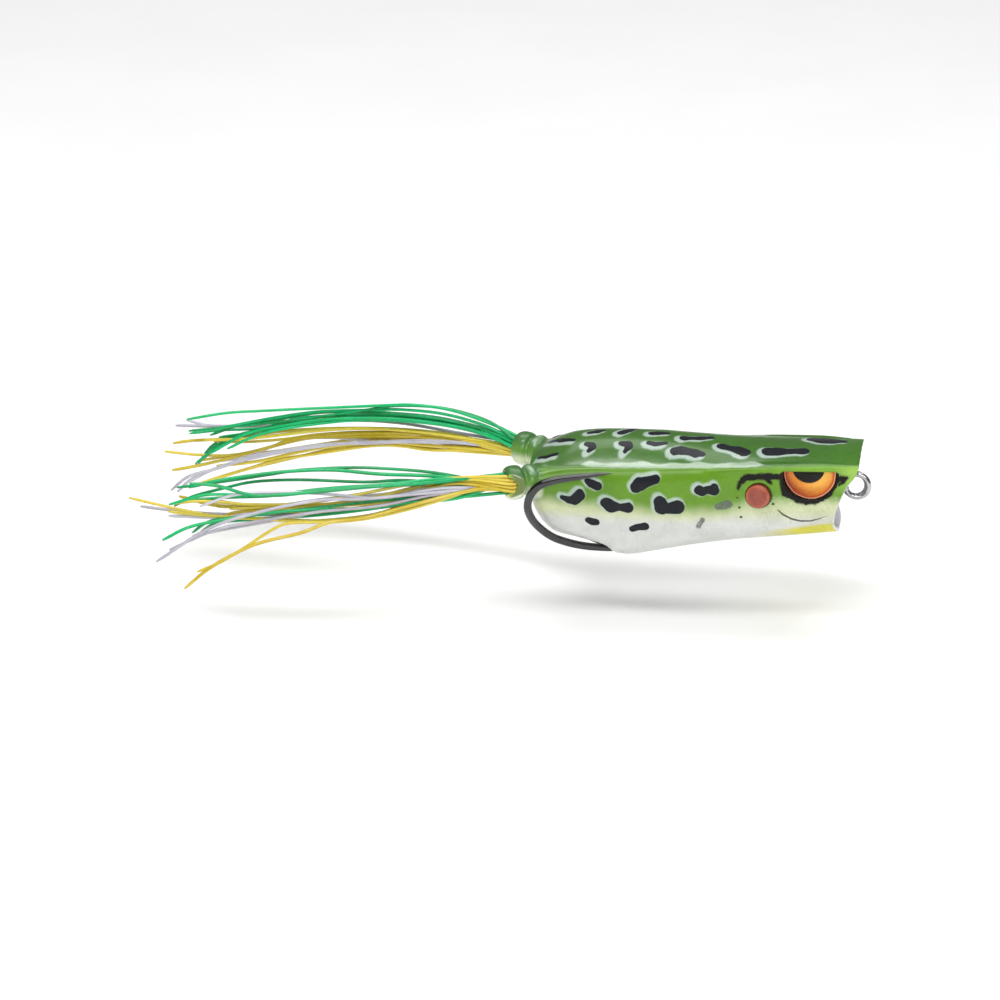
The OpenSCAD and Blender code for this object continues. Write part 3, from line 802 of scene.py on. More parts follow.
def body_material():
    M = Mat("soft_body_paint")
    warp = M.noise(1500, 3, 0.6)
    warp2 = M.noise(420, 2, 0.5)
    w = M.math("ADD", M.math("MULTIPLY", M.math("SUBTRACT", warp, 0.5), 0.34),
               M.math("MULTIPLY", M.math("SUBTRACT", warp2, 0.5), 0.75))
    fine = M.noise(5200, 2, 0.6)
    base = M.attr("paint", True)
    # airbrushed grain and soft mottling
    grain = M.ramp(fine, 0.25, 0.75, 0.93, 1.07)
    mott = M.ramp(M.noise(240, 4, 0.6), 0.3, 0.7, 0.93, 1.07)
    hs = M.n("HueSaturation")
    M.setin(hs, "Color", base)
    M.setin(hs, "Value", M.math("MULTIPLY", grain, mott))
    hs.inputs["Saturation"].default_value = 1.0
    c = hs.outputs[0]
    # cheek speckle in pale yellow-green and grey
    v = M.voronoi(1500)
    dots = M.ramp(v.outputs["Distance"], 0.14, 0.3, 1, 0)
    dots = M.math("MULTIPLY", dots, M.ramp(M.noise(700, 2), 0.45, 0.62))
    c = M.mix(M.math("MULTIPLY", M.math("MULTIPLY", dots, M.attr("speck")), 0.7), c, srgb(150, 164, 104))
    sp = M.ramp(M.noise(2600, 3, 0.7), 0.56, 0.66)
    c = M.mix(M.math("MULTIPLY", M.math("MULTIPLY", sp, M.attr("speck")), 0.32), c, srgb(240, 240, 226))
    # the pale streak under the back's edge: a painted reflection in two pale grey-greens
    st = M.math("ADD", M.attr("reflection_strip"), M.math("MULTIPLY", M.math("SUBTRACT", M.noise(420, 3, 0.6), 0.5), 0.7))
    c = M.mix(M.ramp(st, 0.2, -0.3, 0, 0.8), c, M.mix(M.ramp(warp2, 0.35, 0.65), srgb(162, 184, 160), srgb(182, 198, 178)))
    halo = M.math("ADD", M.attr("halo"), M.math("MULTIPLY", w, 0.8))
    hm = M.ramp(halo, 0.26, -0.3, 0, 1)
    hcol = M.mix(M.ramp(fine, 0.3, 0.7), srgb(158, 178, 168), srgb(184, 198, 188))
    c = M.mix(M.math("MULTIPLY", hm, 0.84), c, hcol)
    g = M.math("ADD", M.attr("greyspot"), M.math("MULTIPLY", w, 0.9))
    gm = M.math("MULTIPLY", M.ramp(g, 0.12, -0.22, 0, 1), M.ramp(M.noise(2200, 3, 0.7), 0.3, 0.6, 0.45, 0.95))
    c = M.mix(gm, c, srgb(84, 90, 88))
    spot = M.math("ADD", M.attr("spot"), M.math("MULTIPLY", w, 0.55))
    sm = M.ramp(spot, 0.07, -0.07, 0, 1)
    c = M.mix(sm, c, M.mix(warp2, srgb(16, 18, 24), srgb(34, 36, 42)))
    el = M.ramp(M.attr("earline"), 0.1, -0.06, 0, 1)
    c = M.mix(M.math("MULTIPLY", el, 0.85), c, srgb(46, 52, 18))
    mk = M.math("ADD", M.attr("mark"), M.math("MULTIPLY", M.math("SUBTRACT", M.noise(900, 4, 0.7), 0.5), 1.15))
    mm = M.ramp(mk, 0.22, -0.2, 0, 1)
    c = M.mix(mm, c, srgb(20, 18, 14))
    low = M.math("ADD", M.math("MULTIPLY", mm, 0.6), M.math("MULTIPLY", sm, 0.6))
    th = M.math("ADD", M.attr("thin"), M.math("MULTIPLY", M.math("SUBTRACT", warp, 0.5), 0.16))
    c = M.mix(M.ramp(th, 0.05, -0.05, 0, 0.9), c, srgb(34, 28, 14))
    inside = M.attr("inside")
    rough = M.math("ADD", M.ramp(M.noise(600, 3), 0.3, 0.7, 0.27, 0.36), M.math("MULTIPLY", inside, 0.12))
    h = M.math("ADD", M.math("MULTIPLY", M.noise(230, 2, 0.5), 1.0), M.math("MULTIPLY", fine, 0.06))
    nrm = M.bump(h, 0.5, 0.00016)
    step = M.bump(M.math("ADD", sm, M.math("MULTIPLY", hm, 0.5)), 0.25, 0.00003, nrm)
    p = M.principled(Base_Color=c, Roughness=rough, IOR=1.5, Coat_Weight=M.math("SUBTRACT", 0.2, M.math("MULTIPLY", low, 0.2)), Coat_Roughness=0.09, Specular_IOR_Level=M.math("SUBTRACT", 0.34, M.math("MULTIPLY", low, 0.34)),
                     Subsurface_Weight=0.06, Subsurface_Radius=(0.8, 0.9, 0.6), Subsurface_Scale=0.001,
                     Normal=step)
    return M.done(p)


body.data.materials.append(body_material())
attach(body, "body")
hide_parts("body_shell")


# ------------------------------------------------------------------ eyes
def plain_metres(obj):
    return obj


def local_piece(name, verts, faces, matrix):
    """A piece with its own frame, in millimetres, so that its texture follows that frame."""
    o = mesh_obj(name, verts, faces)
    m = matrix.copy()
    m.translation = m.translation * MM
    o.matrix_world = m
    return o


def clip_above(o, z_mm):
    """Cuts a piece flat at a height of the row frame and closes the cut."""
    bm = bmesh.new()
    bm.from_mesh(o.data)
    inv = o.matrix_world.inverted()
    co = inv @ Vector((0, 0, z_mm * MM))
    no = (inv.to_3x3() @ Vector((0, 0, 1))).normalized()
    r = bmesh.ops.bisect_plane(bm, geom=bm.verts[:] + bm.edges[:] + bm.faces[:], plane_co=co,
                               plane_no=no, clear_outer=True)
    edges = [g for g in r["geom_cut"] if isinstance(g, bmesh.types.BMEdge)]
    bmesh.ops.holes_fill(bm, edges=edges, sides=0)
    bmesh.ops.recalc_face_normals(bm, faces=bm.faces[:])
    bm.to_mesh(o.data)
    bm.free()
    o.data.shade_smooth()
    o.data.set_sharp_from_angle(angle=math.radians(40))


def fix_normals(o):
    bm = bmesh.new()
    bm.from_mesh(o.data)
    bmesh.ops.recalc_face_normals(bm, faces=bm.faces[:])
    bm.to_mesh(o.data)
    bm.free()
    o.data.shade_smooth()


def foil_material(word, nose):
    M = Mat("eye_foil_print_" + word)
    sep = M.n("SeparateXYZ")
    M.link(M.coord(), sep.inputs[0])
    X, Y = sep.outputs[0], sep.outputs[1]
    r = M.math("MULTIPLY", M.math("SQRT", M.math("ADD", M.math("MULTIPLY", X, X), M.math("MULTIPLY", Y, Y))), 1000)
    w = M.math("MULTIPLY", M.math("SUBTRACT", M.noise(700, 3), 0.5), 0.22)
    rr = M.math("ADD", r, w)
    fwd = M.math("MULTIPLY", X, 1000 * nose)
    px, py = M.math("ADD", fwd, 0.3), M.math("MULTIPLY", M.math("SUBTRACT", M.math("MULTIPLY", Y, 1000), 1.0), 1.06)
    pr = M.math("SQRT", M.math("ADD", M.math("MULTIPLY", px, px), M.math("MULTIPLY", py, py)))
    t = M.ramp(fwd, -4.4, 4.0)
    down = M.ramp(M.math("MULTIPLY", Y, 1000), -4.5, 1.5)
    c = M.mix(t, srgb(150, 40, 16), srgb(228, 146, 46))
    c = M.mix(M.ramp(pr, 3.2, 5.2, 1, 0), c, M.mix(t, srgb(236, 142, 44), srgb(250, 204, 96)))
    rays = M.noise(1, 3, 0.6, vec=M.scaled((900, 900, 100)), dist=0.6)
    c = M.mix(M.ramp(rays, 0.4, 0.75, 0, 0.22), c, srgb(204, 92, 40))
    c = M.mix(M.ramp(rr, 3.8, 4.35, 0, 0.8), c, srgb(170, 56, 34))
    c = M.mix(M.ramp(rr, 4.4, 4.52, 0, 0.85), c, srgb(238, 172, 128))
    c = M.mix(M.ramp(rr, 4.6, 4.68), c, srgb(48, 20, 18))
    c = M.mix(M.ramp(pr, 2.98, 2.88, 0, 1), c, srgb(10, 10, 14))
    rough = M.math("ADD", M.ramp(M.noise(1800, 2), 0.3, 0.7, 0.22, 0.36), M.ramp(pr, 2.98, 2.88, 0, 0.5))
    h = M.math("ADD", M.ramp(pr, 2.86, 3.0, 1, 0), M.math("MULTIPLY", M.noise(3000, 2), 0.15))
    p = M.principled(Base_Color=c, Roughness=rough, Metallic=0.0, IOR=1.5, Specular_IOR_Level=0.2,
                     Normal=M.bump(h, 0.3, 0.00004))
    return M.done(p)


def lens_material():
    M = Mat("eye_lens_clear")
    fr = M.n("Fresnel")
    fr.inputs[0].default_value = 1.49
    gl = M.n("BsdfGlossy")
    gl.inputs["Color"].default_value = (1, 1, 1, 1)
    M.setin(gl, "Roughness", M.ramp(M.noise(900, 2), 0.3, 0.7, 0.03, 0.07))
    tr = M.n("BsdfTransparent")
    tr.inputs[0].default_value = (0.97, 0.95, 0.92, 1)
    mx = M.n("MixShader")
    M.link(M.math("MULTIPLY", fr.outputs[0], 0.2), mx.inputs[0])
    M.link(tr.outputs[0], mx.inputs[1])
    M.link(gl.outputs[0], mx.inputs[2])
    return M.done(mx)


def ear_material():
    M = Mat("ear_disc_plastic")
    sep = M.n("SeparateXYZ")
    M.link(M.coord(), sep.inputs[0])
    r = M.math("MULTIPLY", M.math("SQRT", M.math("ADD", M.math("MULTIPLY", sep.outputs[0], sep.outputs[0]),
                                               M.math("MULTIPLY", sep.outputs[1], sep.outputs[1]))), 1000)
    n = M.noise(900, 4, 0.65)
    c = M.mix(M.ramp(n, 0.3, 0.7), srgb(128, 48, 28), srgb(150, 66, 42))
    c = M.mix(M.ramp(r, 1.45, 1.95, 0, 0.55), c, srgb(186, 92, 60))
    c = M.mix(M.ramp(r, 2.02, 2.25, 0, 0.7), c, srgb(120, 44, 28))
    rough = M.ramp(M.noise(1500, 3), 0.3, 0.7, 0.3, 0.46)
    p = M.principled(Base_Color=c, Roughness=rough, IOR=1.5, Coat_Weight=0.3, Coat_Roughness=0.12,
                     Normal=M.bump(M.noise(2400, 3), 0.25, 0.00003))
    return M.done(p)


LENS, EAR = lens_material(), ear_material()
for side, word in ((-1, "right"), (1, "left")):
    em = eye_matrix(side, EYE_AT, 4, 4)
    if side > 0:
        em = em @ rot("Z", 180)
    prof = smooth_profile([(0, -0.38), (2.2, -0.39), (2.9, -0.40), (3.05, -0.42), (4.2, -0.45), (4.72, -0.42)], 40)
    prof = [(0, prof[0][1])] + [tuple(q) for q in prof[1:]]
    prof += [(4.76, -0.47), (4.76, -0.66), (4.70, -0.72), (0, -0.72)]
    v, f = lathe(prof, 96)
    o = local_piece(word + "_iris", v, [q[::-1] for q in f], em)
    clip_above(o, 5.1)
    o.data.materials.append(foil_material(word, -side))
    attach(o, "body")
    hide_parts(word + "_eye_foil")
    R = (4.72 ** 2 + 0.74 ** 2) / (2 * 0.74)
    dome = [(0, 0.86)] + [(4.72 * k / 30, 0.86 - R + math.sqrt(R * R - (4.72 * k / 30) ** 2)) for k in range(1, 30)]
    dome += [(4.70, 0.12), (4.75, 0.04), (4.76, -0.1), (4.76, -0.33), (4.7, -0.35), (0, -0.35)]
    v, f = lathe(dome, 96)
    o = local_piece(word + "_eye_dome", v, [q[::-1] for q in f], em)
    clip_above(o, 5.1)
    o.data.materials.append(LENS)
    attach(o, "body")
    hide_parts(word + "_eye_lens")
    am = eye_matrix(side, EAR_AT, 0, 5)
    pr = [(0, 0.90)] + [(r, 0.90 - 0.02 * r * r) for r in (0.4, 0.8, 1.2, 1.5)]
    pr += [(1.66, 0.84), (1.74, 0.79), (1.8, 0.72), (1.88, 0.69), (2.0, 0.68), (2.1, 0.65), (2.17, 0.58),
           (2.2, 0.45), (2.2, -0.2), (2.16, -0.25), (0, -0.25)]
    v, f = lathe(pr, 80)
    o = local_piece(word + "_ear_button", v, [q[::-1] for q in f], am)
    o.data.materials.append(EAR)
    fix_normals(o)
    o.data.set_sharp_from_angle(angle=math.radians(50))
    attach(o, "body")
    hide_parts(word + "_ear_disc")


# ------------------------------------------------------------------ hook
def metal(name, dark, light, rough0, rough1, scratch=0.2, coat=0.0):
    M = Mat(name)
    n = M.noise(500, 4, 0.6)
    c = M.mix(M.ramp(n, 0.3, 0.7), srgb(*dark), srgb(*light))
    draw = M.noise(1, 3, 0.6, vec=M.scaled((350, 3200, 3200)))
    rough = M.math("ADD", M.ramp(M.noise(900, 4, 0.65), 0.3, 0.75, rough0, rough1),
                   M.math("MULTIPLY", draw, 0.05))
    p = M.principled(Base_Color=c, Metallic=1.0, Roughness=rough, Coat_Weight=coat, Coat_Roughness=0.03, Coat_IOR=1.6,
                     Normal=M.bump(M.math("ADD", draw, M.math("MULTIPLY", M.noise(4000, 2), 0.4)), scratch, 0.00002))
    return M.done(p)


HOOK_M = metal("hook_black_nickel", (26, 26, 28), (40, 40, 42), 0.09, 0.15, 0.02, 1.0)
EYE_M = metal("hook_eye_bright", (160, 160, 162), (188, 188, 189), 0.06, 0.1, 0.03)
BRAZE_M = metal("braze_brass", (150, 124, 66), (190, 166, 98), 0.28, 0.42)

HOOK = [(x, .572, shank_z(x), 1, 1) for x in (-3.2, -6, -10, -16, -24, -32, -37)] + [
    (-40, .60, -12.85, 1.05, 1), (-42, .75, -13.45, 1.1, 1), (-44, 1.0, -13.85, 1.15, 1),
    (-46.5, 1.7, -13.6, 1.2, 1), (-49, 2.8, -13.0, 1.25, 1), (-51.6, 4.1, -12.0, 1.3, 1),
    (-54.4, 5.9, -10.3, 1.3, 1), (-56.7, 7.8, -7.7, 1.32, 1), (-57.9, 9.5, -5.2, 1.34, 1),
    (-58.3, 10.8, -2.7, 1.34, 1), (-57.7, 11.5, -0.3, 1.34, 1), (-56, 11.5, 1.7, 1.34, 1),
    (-53, 11.2, 2.7, 1.26, .98), (-49, 10.9, 3.4, 1.02, .84), (-45.6, 10.6, 3.9, .62, .55),
    (-43.2, 10.5, 4.2, .06, .06)]


def wire(side):
    s = spline([(x, side * y, z, d, t) for x, y, z, d, t in HOOK], 260)
    p, deep, thick = s[:, :3], s[:, 3], s[:, 4]
    t = np.gradient(p, axis=0)
    t /= np.linalg.norm(t, axis=1)[:, None]
    n = 24
    ang = np.arange(n) * 2 * math.pi / n
    v = []
    for i in range(len(p)):
        c = p[i] - np.array([-47, p[i][1], -4.0])
        b = c - t[i] * (t[i] @ c)
        b /= np.linalg.norm(b)
        a = np.cross(t[i], b)
        # forged: flattened sides, so the section is a rounded rectangle
        k = np.clip((deep[i] - 1) / 0.3, 0, 1)
        e = 2 / (2 + 0.9 * k)
        ca, sa = np.cos(ang), np.sin(ang)
        ca, sa = np.sign(ca) * np.abs(ca) ** e, np.sign(sa) * np.abs(sa) ** e
        v.append(p[i] + 0.55 * (min(1, thick[i]) * ca[:, None] * a + deep[i] * sa[:, None] * b))
    f = []
    m = len(p)
    for i in range(m - 1):
        for j in range(n):
            k = (j + 1) % n
            f.append((i * n + j, i * n + k, (i + 1) * n + k, (i + 1) * n + j))
    f.append(tuple(range(n - 1, -1, -1)))
    f.append(tuple((m - 1) * n + j for j in range(n)))
    return np.concatenate(v), f


for side, word in ((-1, "right"), (1, "left")):
    o = mesh_obj(word + "_hook", *wire(side))
    fix_normals(o)
    o.data.materials.append(HOOK_M)
    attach(o, "hook")
    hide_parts(word + "_hook_wire")

# the eye: the wire's middle, wound into two close turns with a cut end showing
turn = []
for k in range(0, 221):
    a = math.radians(188 - 2.0 * 360 * k / 220 * 1.0)
    drift = (k / 220 - 0.5)
    turn.append((2.13 * math.cos(a) + 0.7 * drift, -1.05 * drift, 2.13 * math.sin(a)))
coil = tube(turn, 0.5, 20)
o = mesh_obj("line_tie_coil", *coil)
fix_normals(o)
o.data.materials.append(EYE_M)
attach(o, "hook")
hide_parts("line_eye")
# the neck, where the shanks run into the coil
neck = []
for s in (-1, 1):
    neck.append(tube([(x, s * 0.572, shank_z(x)) for x in (-1.75, -2.3, -3.0, -4.5, -6.0, -7.5)], [0.36, 0.5, 0.556, 0.556, 0.556, 0.54], 20))
neck.append(tube([(x, 0, shank_z(x)) for x in (-2.0, -2.6, -3.4, -4.6, -5.6)], [0.3, 0.62, 0.66, 0.6, 0.2], 16))
o = mesh_obj("hook_neck", *join_parts(neck))
fix_normals(o)
o.data.materials.append(EYE_M)
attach(o, "hook")


def shank_matrix(x):
    return (Matrix.Translation((x, 0, shank_z(x))) @ rot("Y", -math.degrees(math.atan(SLOPE)))
            @ rot("Y", -90))


pr = smooth_profile([(0.001, -6.0), (0.9, -5.95), (1.6, -5.6), (2.2, -4.9), (2.48, -4.0), (2.5, -2), (2.5, 0),
                     (2.5, 2), (2.48, 4.0), (2.2, 4.9), (1.6, 5.6), (0.9, 5.95), (0.001, 6.0)], 90)
pr = [(0, -6.0)] + [tuple(q) for q in pr[1:-1]] + [(0, 6.0)]
v, f = lathe(pr, 72)
v[:, 0] += 0.7
m = shank_matrix(-31.5)
o = local_piece("keel_lead", v, f, m)
fix_normals(o)
Wm = Mat("lead_cast")
n1 = Wm.noise(420, 5, 0.65)
n2 = Wm.noise(2200, 4, 0.7)
pits = Wm.voronoi(1300)
cw = Wm.mix(Wm.ramp(n1, 0.3, 0.7), srgb(96, 98, 102), srgb(140, 142, 146))
cw = Wm.mix(Wm.ramp(n2, 0.55, 0.75, 0, 0.5), cw, srgb(70, 72, 76))
o.data.materials.append(Wm.done(Wm.principled(
    Base_Color=cw, Metallic=0.85, Roughness=Wm.ramp(n2, 0.3, 0.7, 0.42, 0.6),
    Normal=Wm.bump(Wm.math("ADD", n2, Wm.ramp(pits.outputs["Distance"], 0, 0.25)), 0.5, 0.00006))))
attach(o, "hook")
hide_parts("keel_weight")

bz = []
for k in range(41):
    x = -13.9 - 9.2 * k / 40
    bz.append((x, 0, shank_z(x) + 0.02 * math.sin(k * 1.7)))
br = [0.42 + 0.06 * math.sin(k * 0.9) + 0.03 * math.sin(k * 2.3) for k in range(41)]
br[0] = br[-1] = 0.12
o = mesh_obj("shank_seam", *tube(bz, br, 16))
fix_normals(o)
o.data.materials.append(BRAZE_M)
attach(o, "hook")
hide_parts("shank_braze")

# ------------------------------------------------------------------ leg bands
Bm = Mat("band_rubber")
bn = Bm.noise(1800, 4, 0.65)
Bm.done(Bm.principled(Base_Color=Bm.mix(Bm.ramp(bn, 0.3, 0.7), srgb(26, 26, 28), srgb(46, 45, 46)),
                      Roughness=Bm.ramp(bn, 0.3, 0.7, 0.5, 0.7), Normal=Bm.bump(bn, 0.4, 0.00004)))


def collar_frame(side):
    d = Vector((-CS, side * SN, 0))
    inward = Vector((-SN, -side * CS, 0))
    up = Vector((0, 0, 1))
    m = Matrix.Identity(4)
    for i, c in enumerate((inward, up, d)):
        for j in range(3):
            m[j][i] = c[j]
    m.translation = Vector((COLLAR_AT[0], side * COLLAR_AT[1], COLLAR_AT[2]))
    return m


for side, word in ((-1, "right"), (1, "left")):
    pr = smooth_profile([(2.0, -7.45), (2.3, -7.42), (2.4, -7.3), (2.4, -7.15), (2.33, -7.08), (2.4, -7.0),
                         (2.4, -6.9), (2.3, -6.82), (2.0, -6.8)], 40)
    pr = [tuple(q) for q in pr] + [(1.9, -6.85), (1.9, -7.4), (2.0, -7.45)]
    v, f = lathe(pr, 64)
    o = mesh_obj(word + "_band", put(v, collar_frame(side)), f)
    fix_normals(o)
    o.data.materials.append(Bm.m)
    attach(o, "body")
    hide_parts(word + "_leg_band")


# ------------------------------------------------------------------ skirts
def strand_material(name, lo, hi, core, fleck):
    M = Mat(name)
    tint = M.attr("tint")
    c = M.mix(tint, srgb(*lo), srgb(*hi))
    along_n = M.noise(160, 3, 0.6)
    c = M.mix(M.ramp(along_n, 0.35, 0.7, 0, 0.4), c, srgb(*core))
    fl = M.voronoi(2600)
    fm = M.ramp(fl.outputs["Distance"], 0.1, 0.2, 1, 0)
    fm = M.math("MULTIPLY", fm, M.ramp(M.noise(1500, 2), 0.52, 0.6))
    c = M.mix(M.math("MULTIPLY", fm, 0.6), c, srgb(*fleck))
    rough = M.ramp(M.noise(900, 3), 0.3, 0.7, 0.26, 0.4)
    p = M.principled(Base_Color=c, Roughness=rough, IOR=1.42, Coat_Weight=0.25, Coat_Roughness=0.15,
                     Subsurface_Weight=0.12, Subsurface_Radius=(0.7, 0.8, 0.6), Subsurface_Scale=0.0006,
                     Normal=M.bump(M.math("ADD", M.noise(700, 2), M.math("MULTIPLY", M.noise(3000, 2), 0.25)), 0.35, 0.00005))
    return M.done(p)


DYES = {
    "green": strand_material("silicone_green", (0, 132, 66), (0, 180, 104), (20, 196, 128), (150, 236, 200)),
    "gold": strand_material("silicone_gold", (192, 166, 30), (220, 200, 62), (230, 212, 106), (255, 244, 190)),
    "silver": strand_material("silicone_silver", (160, 156, 170), (198, 196, 208), (214, 212, 220), (250, 250, 255)),
}

